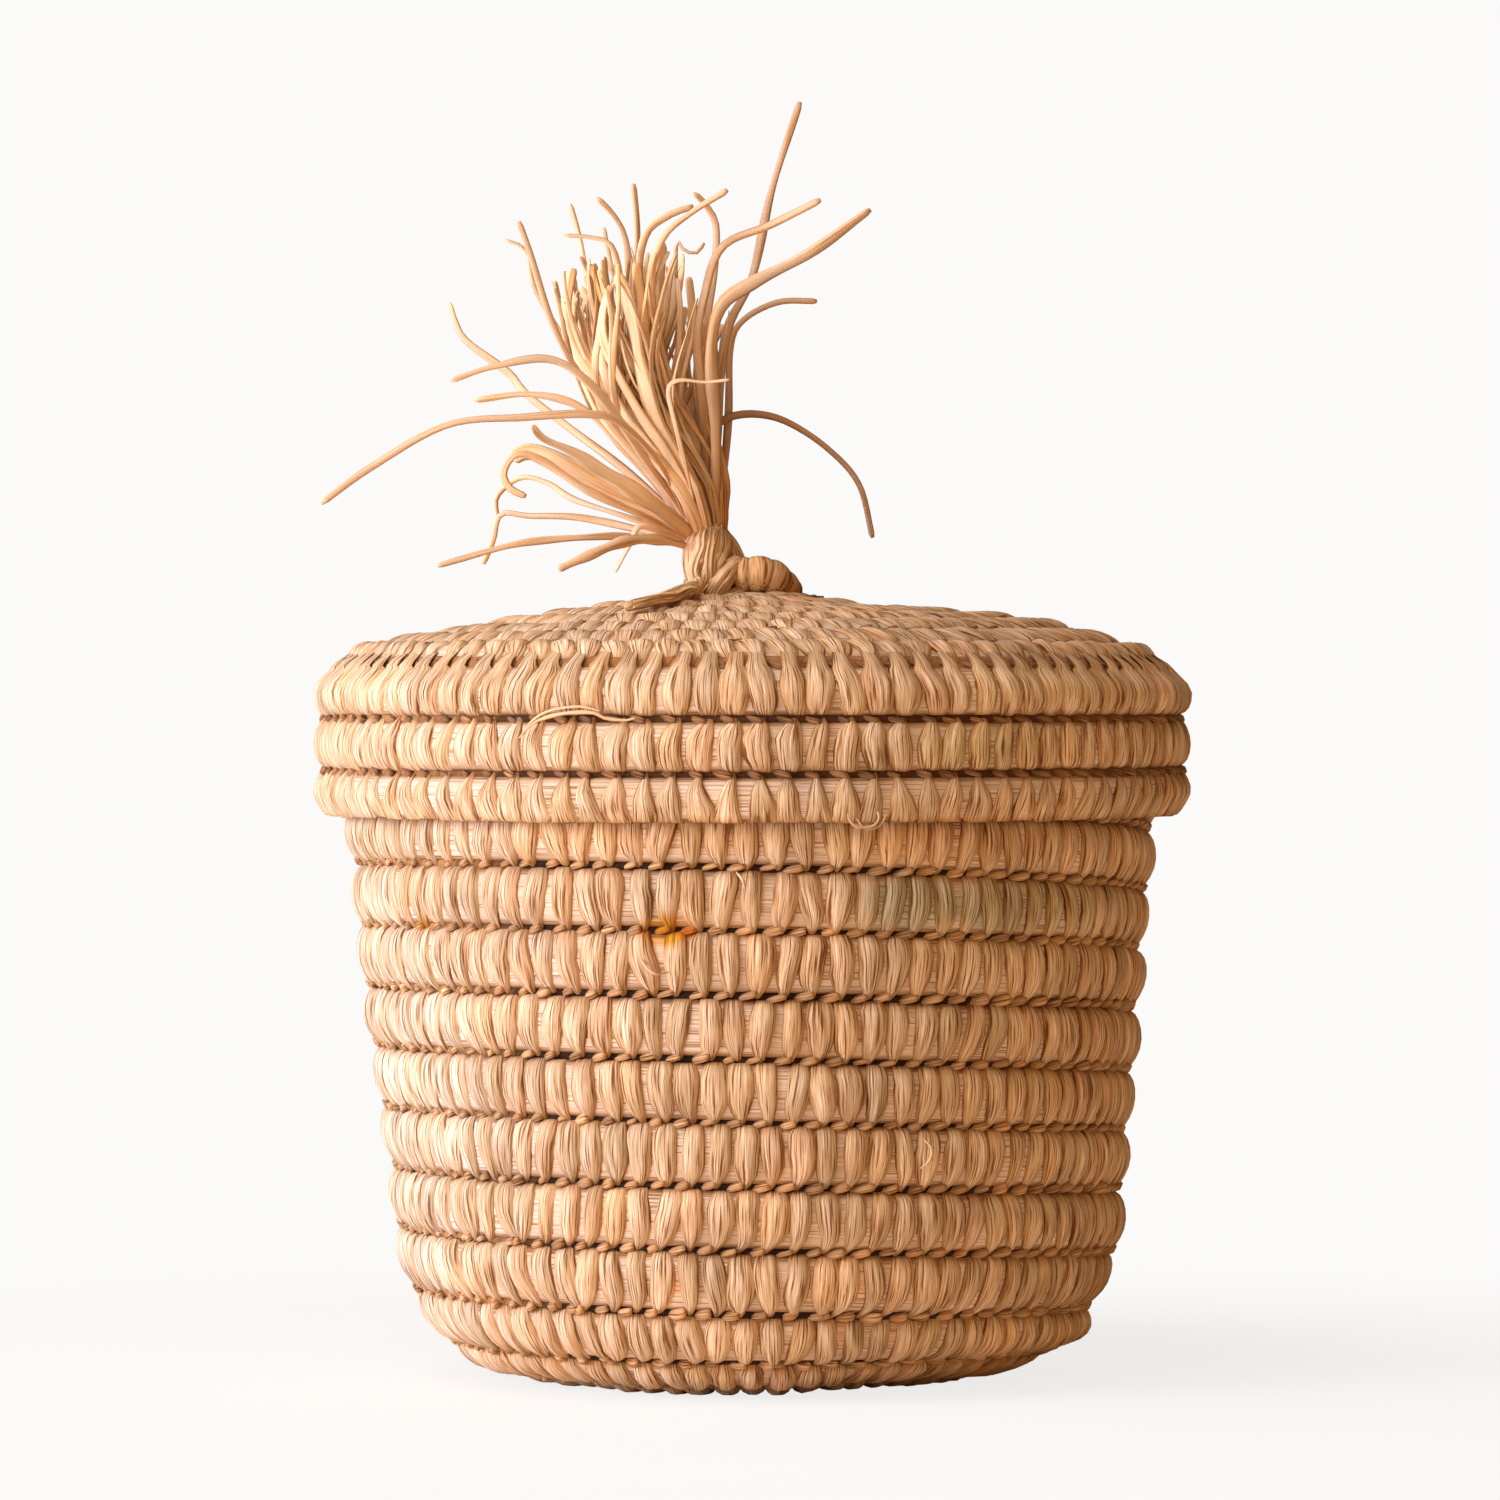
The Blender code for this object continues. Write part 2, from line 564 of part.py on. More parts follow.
def stray_path(place, leave, lean_start, lean_tip, length, power):
    """Up the outside of the tuft from the ring, then out in one upright plane with a changing lean."""
    azimuth = 2 * math.pi * place / RING_PLACES
    out = np.array([math.cos(azimuth), math.sin(azimuth), 0.0])
    climb = max(STRAY_CLIMB_POINTS, round(STRAY_POINTS * leave))
    shares = leave * np.linspace(0, 1, climb) ** ROOT_CROWDING
    seat = STRAY_RADIUS * STRAY_ROOT_SHARE / math.cos(STEM_LEAN) + FIT_GAP + FIT_GAP / 2
    offset = seat + (RING_OFFSET - seat) * smooth(shares / RING_OFFSET_SHARE)
    first = tuft_axis(shares) + (tuft_radius(shares) + offset)[:, None] * out
    fine = np.linspace(0, 1, FINE_STEPS + 1)
    lean = np.radians(lean_start + (lean_tip - lean_start) * fine**power)
    step = length * TASSEL_LENGTH / FINE_STEPS
    run = np.cumsum(np.sin(lean))[:-1] * step
    rise = np.cumsum(np.cos(lean))[:-1] * step
    free = first[-1] + run[:, None] * out + rise[:, None] * UP
    picks = np.linspace(len(free) / STRAY_POINTS, len(free) - 1, STRAY_POINTS).round().astype(int)
    return np.concatenate([first, free[picks]])


def make_strays(finish, group, parent):
    for name, place, leave, lean_start, lean_tip, length, power in STRAY_SHARES:
        path = stray_path(place, leave, lean_start, lean_tip, length, power)
        along = lengths_of(path) / lengths_of(path)[-1]
        full = STRAY_SWELL.get(name, 1)
        shares = np.interp(along, STRAY_FULL_SHARES, (STRAY_ROOT_SHARE, full, full, STRAY_TIP_SHARE))
        path += STRAY_RADIUS * STRAY_ROOT_SHARE / 2 * UP
        tube(name, path, STRAY_RADIUS, shares, finish, group, parent, fineness=0)


def main():
    for obj in list(bpy.data.objects):
        bpy.data.objects.remove(obj)
    basket = collection("raffia_basket")
    cutters = collection("cutters")
    raffia = material("sewn_raffia", (0.62, 0.36, 0.18), 0.75)
    lid_raffia = material("sewn_raffia_lid", (0.64, 0.38, 0.20), 0.75)
    knot_raffia = material("twisted_raffia", (0.56, 0.28, 0.11), 0.7)
    loose_raffia = material("loose_raffia", (0.70, 0.42, 0.21), 0.6)
    vessel = parent_at("vessel", (0, 0, 0), basket)
    lid = parent_at("lid", (0, 0, VESSEL_HEIGHT), basket)

    line = vessel_meridian()
    length = lengths_of(line)[-1]
    marks = ((0, VESSEL_EYE), ((length - VESSEL_EYE) / VESSEL_ROW, length))
    homes = (basket, vessel, cutters)
    start = VESSEL_START_ANGLE
    wound = coil("vessel_coil", line, marks, VESSEL_BUNDLE, even_climb, 0, -1, start, raffia, homes)
    cut_flat_below(wound, 0, COLLAR_RADIUS, cutters)
    line = lid_meridian()
    _, shoulder, rim = lengths_of(line)
    marks = ((0, LID_EYE), (LID_CONE_ROWS, shoulder), (LID_CONE_ROWS + LID_WALL_ROWS, rim))
    homes = (basket, lid, cutters)
    start, first = LID_START_ANGLE, LID_STEP_SHARE / 2
    coil("lid_coil", line, marks, LID_BUNDLE, stepped_climb, first, 1, start, lid_raffia, homes)
    make_collar_coil(knot_raffia, basket, lid)
    make_stem(knot_raffia, basket, lid)
    make_knot(knot_raffia, basket, lid)
    make_tuft(loose_raffia, basket, lid)
    make_strays(loose_raffia, basket, lid)


main()
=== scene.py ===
import math

import bpy
import numpy as np
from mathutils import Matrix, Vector


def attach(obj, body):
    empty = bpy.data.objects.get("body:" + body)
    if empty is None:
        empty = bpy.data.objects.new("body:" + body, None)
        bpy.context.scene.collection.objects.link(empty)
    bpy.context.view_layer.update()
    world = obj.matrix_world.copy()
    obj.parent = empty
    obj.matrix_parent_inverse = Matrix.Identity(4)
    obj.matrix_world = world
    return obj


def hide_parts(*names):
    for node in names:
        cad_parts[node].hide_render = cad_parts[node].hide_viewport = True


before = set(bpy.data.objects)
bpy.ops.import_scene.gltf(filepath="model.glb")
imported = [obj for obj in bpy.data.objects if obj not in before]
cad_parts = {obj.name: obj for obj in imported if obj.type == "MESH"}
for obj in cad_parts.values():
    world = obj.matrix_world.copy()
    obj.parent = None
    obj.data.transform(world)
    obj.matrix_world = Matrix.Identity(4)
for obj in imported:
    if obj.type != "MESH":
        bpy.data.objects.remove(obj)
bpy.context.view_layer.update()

MM = 0.001
TURN = 2 * math.pi

# Sizes of the two coils, as in the part's source.
VESSEL_HEIGHT = 172.5 * MM
FOOT_RADIUS = 89.2 * MM
COLLAR_RADIUS = 101.8 * MM
WALL_TAPER = math.radians(5)
BASE_ROUND = 40 * MM
COLLAR_ROUND = 60 * MM
VESSEL_ROW = 15 * MM
VESSEL_HALF = 3.7 * MM
VESSEL_EYE = 1.5 * MM
BASE_FLAT = 0.5 * MM
VESSEL_START = math.radians(225)
LID_OVERLAP = 34.5 * MM
LID_FIT = 0.7 * MM
LID_SEAT = 0.4 * MM
LID_SLOPE = math.radians(10)
LID_HALF = 3.5 * MM
LID_EYE = 4.2 * MM
LID_CONE_ROWS = 8
LID_WALL_ROWS = 3
LID_STEP_SHARE = 0.25
LID_START = math.radians(90)
ROW_GAP = 0.5 * MM
TAIL_SHARE = 0.3
START_ROWS = 2
ARC_STEPS = 12
FULL_ROW = VESSEL_ROW - ROW_GAP
HALF_ROW = FULL_ROW / 2

LID_RADIUS = COLLAR_RADIUS + LID_FIT + LID_HALF
LID_SHOULDER = VESSEL_HEIGHT + LID_SEAT + LID_HALF / math.cos(LID_SLOPE)
LID_RIM = VESSEL_HEIGHT - LID_OVERLAP

# Steps a turn of a coil, its bundle and its groove strand, and points round the last two.
COIL_STEPS = 192
BUNDLE_STEPS = 96
GROOVE_STEPS = 288
BUNDLE_AROUND = 16
GROOVE_AROUND = 12

# The body that a piece rides on and the slot of its finish.
ON_VESSEL = ("vessel", "vessel_raffia")
ON_LID = ("lid", "lid_raffia")
ON_KNOT = ("lid", "knot_raffia")
ON_TASSEL = ("lid", "loose_raffia")

# How far the fibres' pattern is moved at random from strip to strip, across and along it.
ACROSS_OFFSET = 400
ALONG_OFFSET = 900


# Small tools.

def smooth(x, low=0.0, high=1.0):
    """Eased step: 3s^2 - 2s^3 of the share s of the way from low to high."""
    s = np.clip((x - low) / (high - low), 0, 1)
    return s * s * (3 - 2 * s)


def mixed(low, high, share):
    """The value at a share of the way from low to high."""
    return np.array(low) + (np.array(high) - low) * share


def unit(vectors):
    return vectors / np.linalg.norm(vectors, axis=-1, keepdims=True)


def ripple(x, seed, waves=4):
    """A smooth made-up line of x with a mean of zero: a sum of sines of uneven pitch."""
    rng = np.random.default_rng(seed)
    rate = rng.uniform(0.4, 1.6, waves)
    phase = rng.uniform(0, TURN, waves)
    return sum(np.sin(np.asarray(x) * TURN * r + p) for r, p in zip(rate, phase)) / waves


def grid_faces(rows, columns, wrap=False):
    """Quads between neighbouring points of a grid. wrap joins the last column to the first."""
    r = np.arange(rows - 1)[:, None]
    c = np.arange(columns if wrap else columns - 1)[None, :]
    d = (c + 1) % columns
    corners = [r * columns + c, r * columns + d, (r + 1) * columns + d, (r + 1) * columns + c]
    return np.stack(np.broadcast_arrays(*corners), axis=-1).reshape(-1, 4)


def repeat_faces(faces, count, points):
    """The same faces for each of count grids that hold so many points each."""
    return (faces[None] + (np.arange(count) * points)[:, None, None]).reshape(-1, faces.shape[1])


def tube_faces(count, stations, around, inverted=False):
    """Quads and end rings of count tubes, each a grid of stations rings of around points."""
    faces = repeat_faces(grid_faces(stations, around, wrap=True), count, stations * around)
    first = (np.arange(count) * stations * around)[:, None] + np.arange(around)
    last = first + (stations - 1) * around
    if inverted:
        return faces, [*first[:, ::-1], *last]
    return faces[:, ::-1], [*first, *last[:, ::-1]]


def there_and_back(around, far):
    """Place across the strip for each point of a ring: from far down to 0 and back, so that the pattern
    closes."""
    return np.abs(np.linspace(-1, 1, around + 1)[:around]) * far


def add_object(name, data):
    made = bpy.data.objects.new(name, data)
    bpy.context.scene.collection.objects.link(made)
    return made


def make_piece(name, points, faces, uv, tint, finish, target, caps=()):
    """A mesh from whole arrays: points (..., 3), quads (m, 4), the two parts of uv and a tint (a colour to
    multiply by), which are spread over the points. target is its body and slot; the slot is not used.

    caps holds rings of point numbers, each closed with one polygon.
    """
    body, slot = target
    uv = np.stack([np.broadcast_to(part, points.shape[:-1]) for part in uv], axis=-1).reshape(-1, 2)
    tint = np.broadcast_to(tint, points.shape).reshape(-1, 3)
    points = points.reshape(-1, 3)
    sizes = np.concatenate([np.full(len(faces), 4), [len(ring) for ring in caps]]).astype(np.int32)
    corners = np.concatenate([faces.reshape(-1), *caps]).astype(np.int32)
    mesh = bpy.data.meshes.new(name)
    mesh.vertices.add(len(points))
    mesh.vertices.foreach_set("co", np.ascontiguousarray(points, np.float32).reshape(-1))
    mesh.loops.add(len(corners))
    mesh.loops.foreach_set("vertex_index", corners)
    mesh.polygons.add(len(sizes))
    mesh.polygons.foreach_set("loop_start", (np.cumsum(sizes) - sizes).astype(np.int32))
    mesh.polygons.foreach_set("use_smooth", np.ones(len(sizes), bool))
    mesh.uv_layers.new(name="fibre").data.foreach_set("uv", uv[corners].astype(np.float32).reshape(-1))
    colour = np.ones((len(points), 4), np.float32)
    colour[:, :3] = tint
    mesh.attributes.new("tint", "FLOAT_COLOR", "POINT").data.foreach_set("color", colour.reshape(-1))
    mesh.update(calc_edges=True)
    mesh.validate()
    mesh.materials.append(finish)
    piece = add_object(name, mesh)
    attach(piece, body)
    return piece


# The coils' course.

def rounded_line(corners, rounds):
    """Straight runs through corners, each inner corner rounded to its radius by an arc of ARC_STEPS steps.
    """
    corners = [np.array(corner) for corner in corners]
    points = [corners[0]]
    for before, corner, after, radius in zip(corners, corners[1:], corners[2:], rounds):
        back, on = unit(before - corner), unit(after - corner)
        half = math.acos(float(np.clip(back @ on, -1, 1))) / 2
        middle = corner + unit(back + on) * radius / math.sin(half)
        reach = radius / math.tan(half)
        start, end = corner + back * reach - middle, corner + on * reach - middle
        angle = math.pi - 2 * half
        for share in np.linspace(0, 1, ARC_STEPS + 1):
            mix = math.sin((1 - share) * angle) * start + math.sin(share * angle) * end
            points.append(middle + mix / math.sin(angle))
    points.append(corners[-1])
    return np.array(points)


def vessel_line():
    """Middle of the bundle in (radius, height): along the base, up the tapered wall and the collar."""
    base = VESSEL_HALF - BASE_FLAT
    inset = VESSEL_HALF / math.cos(WALL_TAPER)
    lean = math.tan(WALL_TAPER)
    collar = COLLAR_RADIUS - VESSEL_HALF
    foot = (FOOT_RADIUS - inset + base * lean, base)
    turn_up = (collar, (collar - FOOT_RADIUS + inset) / lean)
    rounds = (BASE_ROUND - VESSEL_HALF, COLLAR_ROUND)
    return rounded_line([(0.0, base), foot, turn_up, (collar, VESSEL_HEIGHT)], rounds)


def lid_line():
    """Middle of the bundle in (radius, height): down the cone, then down the wall to the rim."""
    tip = LID_SHOULDER + LID_RADIUS * math.tan(LID_SLOPE)
    return np.array([(0.0, tip), (LID_RADIUS, LID_SHOULDER), (LID_RADIUS, LID_RIM)])


def lengths_of(points):
    steps = np.linalg.norm(np.diff(points, axis=0), axis=1)
    return np.concatenate([[0.0], np.cumsum(steps)])


def swelling(rows):
    """Rows climbed with a slow start: rows^2 / 4 up to two rows, then one row less than the turns."""
    rows = np.maximum(rows, 0)
    return np.where(rows < START_ROWS, rows * rows / (2 * START_ROWS), rows - START_ROWS / 2)


def stepped(turns):
    """Level for most of each turn, with an eased climb to the next row round the whole turns."""
    shifted = turns + LID_STEP_SHARE / 2
    whole = np.floor(shifted)
    return whole - 1 + smooth((shifted - whole) / LID_STEP_SHARE)


class Coil:
    """One bundle wound along a meridian line. Its course is kept at close turns and read between them.

    line is points of (radius, height). marks pairs numbers of rows with the lengths of line that they reach.
    climb gives the rows climbed after a number of turns. sway moves every point as the hand-made rows are.
    """

    def __init__(self, line, marks, climb, first, direction, start, outward, sway):
        lengths = lengths_of(line)
        rows, ends = np.array(marks).T
        total = ends[-1]
        row = (total - ends[-2]) / (rows[-1] - rows[-2])
        turns = first + np.arange(0, rows[-1] + START_ROWS, 1 / COIL_STEPS)
        beyond = np.append(rows, rows[-1] + START_ROWS)
        beyond_ends = np.append(ends, total + START_ROWS * row)
        inner = np.interp(swelling(climb(turns)), beyond, beyond_ends)
        outer = np.minimum(np.interp(swelling(climb(turns + 1)), beyond, beyond_ends) - ROW_GAP, total)
        kept = inner <= total - TAIL_SHARE * row
        turns, inner, outer = turns[kept], inner[kept], outer[kept]
        self.turns, self.direction, self.start, self.sway = turns, direction, start, sway
        low, high, middle = (np.stack([np.interp(where, lengths, column) for column in line.T], axis=-1)
                             for where in (inner, outer, (inner + outer) / 2))
        self.centre = (low + high) / 4 + middle / 2
        self.along = unit(high - low)
        self.width = np.linalg.norm(high - low, axis=1) / 2
        self.out = np.stack([self.along[:, 1], -self.along[:, 0]], axis=1) * outward
        self.scale = np.clip(self.width / HALF_ROW, 0.25, 1.0)
        self.first, self.last = turns[0], turns[-1]

    def read(self, turns, values):
        if values.ndim == 1:
            return np.interp(turns, self.turns, values)
        return np.stack([np.interp(turns, self.turns, column) for column in values.T], axis=-1)

    def radius(self, turns):
        return self.read(turns, self.centre)[..., 0]

    def azimuth(self, turns):
        return self.start + self.direction * TURN * turns

    def mileage(self, turns):
        """Length of bundle wound up to each of the turns."""
        return np.concatenate([[0], np.cumsum(TURN * self.radius(turns[:-1]) * np.diff(turns))])

    def moved(self, turns, x):
        """The turns that lie x metres further along the bundle, kept on the coil."""
        return np.clip(turns + x / (TURN * np.maximum(self.radius(turns), 4 * MM)), self.first, self.last)

    def place(self, turns, p, q):
        """World point at a turn. p runs over the row from its edge next to the row before (-1) to the
        other (+1). q is the height over the bundle's middle, outwards, in metres. Point = centre +
        along*p*width + out*q*scale, turned to its azimuth, then swayed as the hand-made rows are. Over its
        last 0.04 turns the bundle thins out onto the row before."""
        turns, p, q = np.broadcast_arrays(turns, p, q)
        ending = smooth(self.last - turns, -0.003, 0.04)
        p, q = (p + 1) * ending - 1, q * ending
        centre, along, out = (self.read(turns, v) for v in (self.centre, self.along, self.out))
        width, scale = self.read(turns, self.width), self.read(turns, self.scale)
        swell = 1 + 0.05 * ripple(turns * 9, 5, waves=6)
        flat = centre + along * (p * width)[..., None] + out * (q * scale * swell)[..., None]
        azimuth = self.azimuth(turns)
        radius, height = self.sway(flat[..., 0], flat[..., 1], azimuth)
        return np.stack([radius * np.cos(azimuth), radius * np.sin(azimuth), height], axis=-1)


def vessel_sway(radius, height, azimuth):
    """Rows rise 2.2 mm to the front over the lower wall and dip with the lid at the rim. The lower wall is
    drawn in on the left. The foot stands out up to 5 mm on the right and is lifted by 1.3 mm left and right
    of the front. Rows tilt and waver a little. All sizes here are in millimetres."""
    r, h = radius / MM, height / MM
    front, right = -np.sin(azimuth), np.cos(azimuth)
    rightward, leftward = np.clip(right, 0, 1), np.clip(-right, 0, 1)
    rise = 2.2 * smooth(h, 3, 34) - 5.2 * smooth(h, 132, 168)
    tilt = 0.5 * smooth(h, 2, 20) + 2.0 * smooth(r, 50, 90) * smooth(h, 24, 2)
    waver = smooth(h, 8, 30)
    lift = 0.45 * ripple(azimuth / TURN + height * 23, 11) * waver
    raised = smooth(right, 0.1, 0.45) * smooth(right, 0.95, 0.75)
    raised = raised + 0.6 * smooth(-right, 0.5, 0.7) * smooth(-right, 1.0, 0.85)
    lift += 1.3 * raised * smooth(h, 9, 2) * np.clip(front, 0, 1)
    swell = 0.5 * ripple(2 * azimuth / TURN + height * 31, 12) * waver * smooth(h, 150, 130)
    drawn = 2.6 * leftward * smooth(h, 110, 45) * smooth(r, 30, 85)
    foot = 5.0 * smooth(h, 1.2, 3.8) * smooth(h, 20, 8) - 4.0 * smooth(h, 2.6, 0.6)
    foot = foot * rightward * smooth(r, 60, 78)
    return radius + (swell - drawn + foot) * MM, height + (rise * front + tilt * right + lift) * MM


def lid_sway(radius, height, azimuth):
    """The lid sits 3 mm low at the front of its rim and as much high at the back. Its shoulder is rounded
    off and its rim's lower edge is tucked in. From 50 mm out its cone stands 1.6 to 2.5 mm higher, and
    near the knot it is 1.2 mm lower on the right. All sizes here are in millimetres."""
    r, h, rim = radius / MM, height / MM, LID_RIM / MM
    share, front, right = radius / LID_RADIUS, -np.sin(azimuth), np.cos(azimuth)
    corner = smooth(r, 94, 109.5) * smooth(h, 170, 179)
    lift = 0.35 * ripple(azimuth / TURN + height * 17, 21) * share - 3.0 * share * front - 1.5 * corner
    lift += 1.6 * smooth(r, 12, 50) * smooth(h, 168, 180)
    lift += 0.8 * smooth(r, 40, 70) * smooth(r, 95, 75) * right
    lift += 0.9 * smooth(r, 48, 66) * smooth(r, 92, 80)
    lift -= 1.2 * smooth(r, 14, 26) * smooth(r, 48, 34) * np.clip(right, 0, 1)
    lift += 1.2 * smooth(h, rim + 12, rim)
    swell = 0.45 * ripple(2 * azimuth / TURN + height * 29, 22) * share * smooth(h, 190, 176)
    bulge = np.clip(r - LID_RADIUS / MM, 0, None) * 0.55 * smooth(h, rim + 8, rim - 1)
    return radius + (swell - 5.2 * corner - bulge) * MM, height + lift * MM


def wind_vessel():
    line = vessel_line()
    length = lengths_of(line)[-1]
    marks = ((0, VESSEL_EYE), ((length - VESSEL_EYE) / VESSEL_ROW, length))
    return Coil(line, marks, lambda turns: turns, 0, -1, VESSEL_START, 1, vessel_sway)


def wind_lid():
    line = lid_line()
    _, shoulder, rim = lengths_of(line)
    marks = ((0, LID_EYE), (LID_CONE_ROWS, shoulder), (LID_CONE_ROWS + LID_WALL_ROWS, rim))
    return Coil(line, marks, stepped, LID_STEP_SHARE / 2, 1, LID_START, -1, lid_sway)


# Finishes.

def feed(tree, node, inputs):
    """Gives inputs, by name or number, a value or a link. A node stands for its first output in use."""
    for key, value in inputs.items():
        if isinstance(value, bpy.types.Node):
            value = next(output for output in value.outputs if output.enabled)
        if isinstance(value, bpy.types.NodeSocket):
            tree.links.new(value, node.inputs[key])
        else:
            node.inputs[key].default_value = value


def add_node(tree, kind, inputs=None, **settings):
    node = tree.nodes.new("ShaderNode" + kind)
    for key, value in settings.items():
        setattr(node, key, value)
    feed(tree, node, inputs or {})
    return node


def fibre_group():
    """Long raffia fibres: noise drawn out along the strip. Across and Along are the noise's rates per unit
    of UV. Crease is 0 in the creases and 1 outside them, and Height is for a bump."""
    group = bpy.data.node_groups.new("raffia_fibres", "ShaderNodeTree")
    face = group.interface
    face.new_socket("UV", in_out="INPUT", socket_type="NodeSocketVector")
    for name, rate in (("Across", 3.0), ("Along", 0.1)):
        face.new_socket(name, in_out="INPUT", socket_type="NodeSocketFloat").default_value = rate
    for name in ("Fibre", "Crease", "Height"):
        face.new_socket(name, in_out="OUTPUT", socket_type="NodeSocketFloat")
    entry, leave = group.nodes.new("NodeGroupInput"), group.nodes.new("NodeGroupOutput")
    uv, across_rate, along_rate = entry.outputs[:3]
    u, v, _ = add_node(group, "SeparateXYZ", {0: uv}).outputs
    across = add_node(group, "Math", {0: u, 1: across_rate}, operation="MULTIPLY")
    along = add_node(group, "Math", {0: v, 1: along_rate}, operation="MULTIPLY")
    drawn = add_node(group, "CombineXYZ", {0: across, 1: along})
    closer = add_node(group, "VectorMath", {0: drawn, 1: (3.1, 1.3, 1.0)}, operation="MULTIPLY")
    coarse = add_node(group, "TexNoise", {"Vector": drawn, "Scale": 1.0, "Detail": 2.0, "Roughness": 0.55})
    fine = add_node(group, "TexNoise", {"Vector": closer, "Scale": 1.0, "Detail": 3.0, "Roughness": 0.6})
    crease = add_node(group, "MapRange", {"Value": coarse, "From Min": 0.33, "From Max": 0.43},
                      interpolation_type="SMOOTHSTEP")
    broad = add_node(group, "Math", {0: coarse, 1: 0.55}, operation="MULTIPLY")
    fibre = add_node(group, "Math", {0: fine, 1: 0.45, 2: broad}, operation="MULTIPLY_ADD")
    height = add_node(group, "Math", {0: crease, 1: 0.5, 2: fibre}, operation="MULTIPLY_ADD")
    feed(group, leave, {"Fibre": fibre, "Crease": crease, "Height": height})
    return group


FIBRES = fibre_group()


def raffia(name, dark, middle, pale, across, along, crease, depth, roughness, sheen=0.06):
    """A raffia finish: colour from dark to pale by the fibres, darker in creases as painted shade, times the
    piece's own tint, which holds its tone, marks and painted light and shade. crease is the share of light
    left in a crease, and depth the bump's height in metres."""
    made = bpy.data.materials.new(name)
    made.use_nodes = True
    tree = made.node_tree
    uv = add_node(tree, "UVMap", uv_map="fibre")
    fibres = add_node(tree, "Group", {"UV": uv, "Across": across, "Along": along}, node_tree=FIBRES)
    fibre, outside_crease, height = fibres.outputs
    ramp = add_node(tree, "ValToRGB", {0: fibre})
    low, high = ramp.color_ramp.elements
    low.position, low.color = 0.39, (*dark, 1)
    high.position, high.color = 0.61, (*pale, 1)
    ramp.color_ramp.elements.new(0.5).color = (*middle, 1)
    place = add_node(tree, "TexCoord").outputs["Object"]
    blotch = add_node(tree, "TexNoise", {"Vector": place, "Scale": 60.0, "Detail": 3.0})
    mottle = add_node(tree, "MapRange", {"Value": blotch, "From Min": 0.3, "From Max": 0.7, "To Min": 0.86,
                                         "To Max": 1.12})
    tint = add_node(tree, "Attribute", attribute_name="tint")
    shade = add_node(tree, "VectorMath", {0: tint, "Scale": mottle}, operation="SCALE")
    creased = (crease, crease ** 1.6, crease ** 2.5, 1)
    dim = add_node(tree, "Mix", {"Factor": outside_crease, "A": creased, "B": (1, 1, 1, 1)},
                   data_type="RGBA")
    dimmed = add_node(tree, "VectorMath", {0: shade, 1: dim}, operation="MULTIPLY")
    colour = add_node(tree, "Mix", {"Factor": 1.0, "A": ramp, "B": dimmed}, data_type="RGBA",
                      blend_type="MULTIPLY")
    bump = add_node(tree, "Bump", {"Strength": 1.0, "Distance": depth, "Height": height})
    rough = add_node(tree, "MapRange", {"Value": fibre, "To Min": roughness - 0.1,
                                        "To Max": roughness + 0.1})
    feed(tree, tree.nodes["Principled BSDF"], {
        "Base Color": colour, "Normal": bump, "Roughness": rough, "Metallic": 0.0,
        "Specular IOR Level": 0.15, "Sheen Weight": sheen, "Sheen Roughness": 0.5})
    return made


STITCH = raffia("sewn_raffia", (0.42, 0.205, 0.07), (0.62, 0.405, 0.245), (0.88, 0.715, 0.56),
                across=8.0, along=0.08, crease=0.50, depth=0.36 * MM, roughness=0.62)
CORE = raffia("bundle_fibres", (0.52, 0.33, 0.20), (0.68, 0.49, 0.37), (0.82, 0.66, 0.55),
              across=3.0, along=0.03, crease=0.70, depth=0.2 * MM, roughness=0.7)
LOOSE = raffia("loose_raffia", (0.78, 0.48, 0.25), (0.84, 0.58, 0.36), (0.85, 0.66, 0.49),
               across=1.7, along=0.04, crease=0.84, depth=0.06 * MM, roughness=0.6, sheen=0.05)
TWIST = raffia("twisted_raffia", (0.50, 0.25, 0.09), (0.74, 0.46, 0.25), (0.90, 0.70, 0.49),
               across=3.0, along=0.10, crease=0.6, depth=0.3 * MM, roughness=0.58)


# Bundle and stitches.

# The bundle's half thickness, how far over half a row it reaches and how far it is moved aside. The turn at
# which the groove strand starts, and its radius. The links' radius and height in mm. The stitches' usual
# distance and least number a turn, and their tones.
FOUNDATION_HALF = 2.4 * MM
FOUNDATION_EDGE = 0.935
EDGE_SHIFT = 0.02
GROOVE_START = 1.2
GROOVE_RADIUS = 1.75 * MM
LINK_RADIUS = 1.1
LINK_HEIGHT = 1.3
USUAL_PITCH = 6.75 * MM
FEWEST_STITCHES = 7
PALETTE = np.array([(1.06, 1.07, 1.09), (1.0, 1.0, 1.0), (1.01, 0.95, 0.86), (1.03, 0.97, 0.95),
                    (0.93, 0.94, 0.90)])
PALETTE_ODDS = (0.24, 0.42, 0.14, 0.14, 0.06)


def foundation_height(p):
    """Half thickness of the bundle over the row: full in the middle, rounded off to nothing at the edges."""
    return FOUNDATION_HALF * np.clip(1 - np.abs((p - EDGE_SHIFT) / FOUNDATION_EDGE) ** 2.1, 0, None) ** 0.58


def painted_shade_tint(shade):
    """A grey level, mostly painted shade, as a tint: the darker it is, the browner."""
    return shade ** np.array([0.95, 1.52, 2.5])


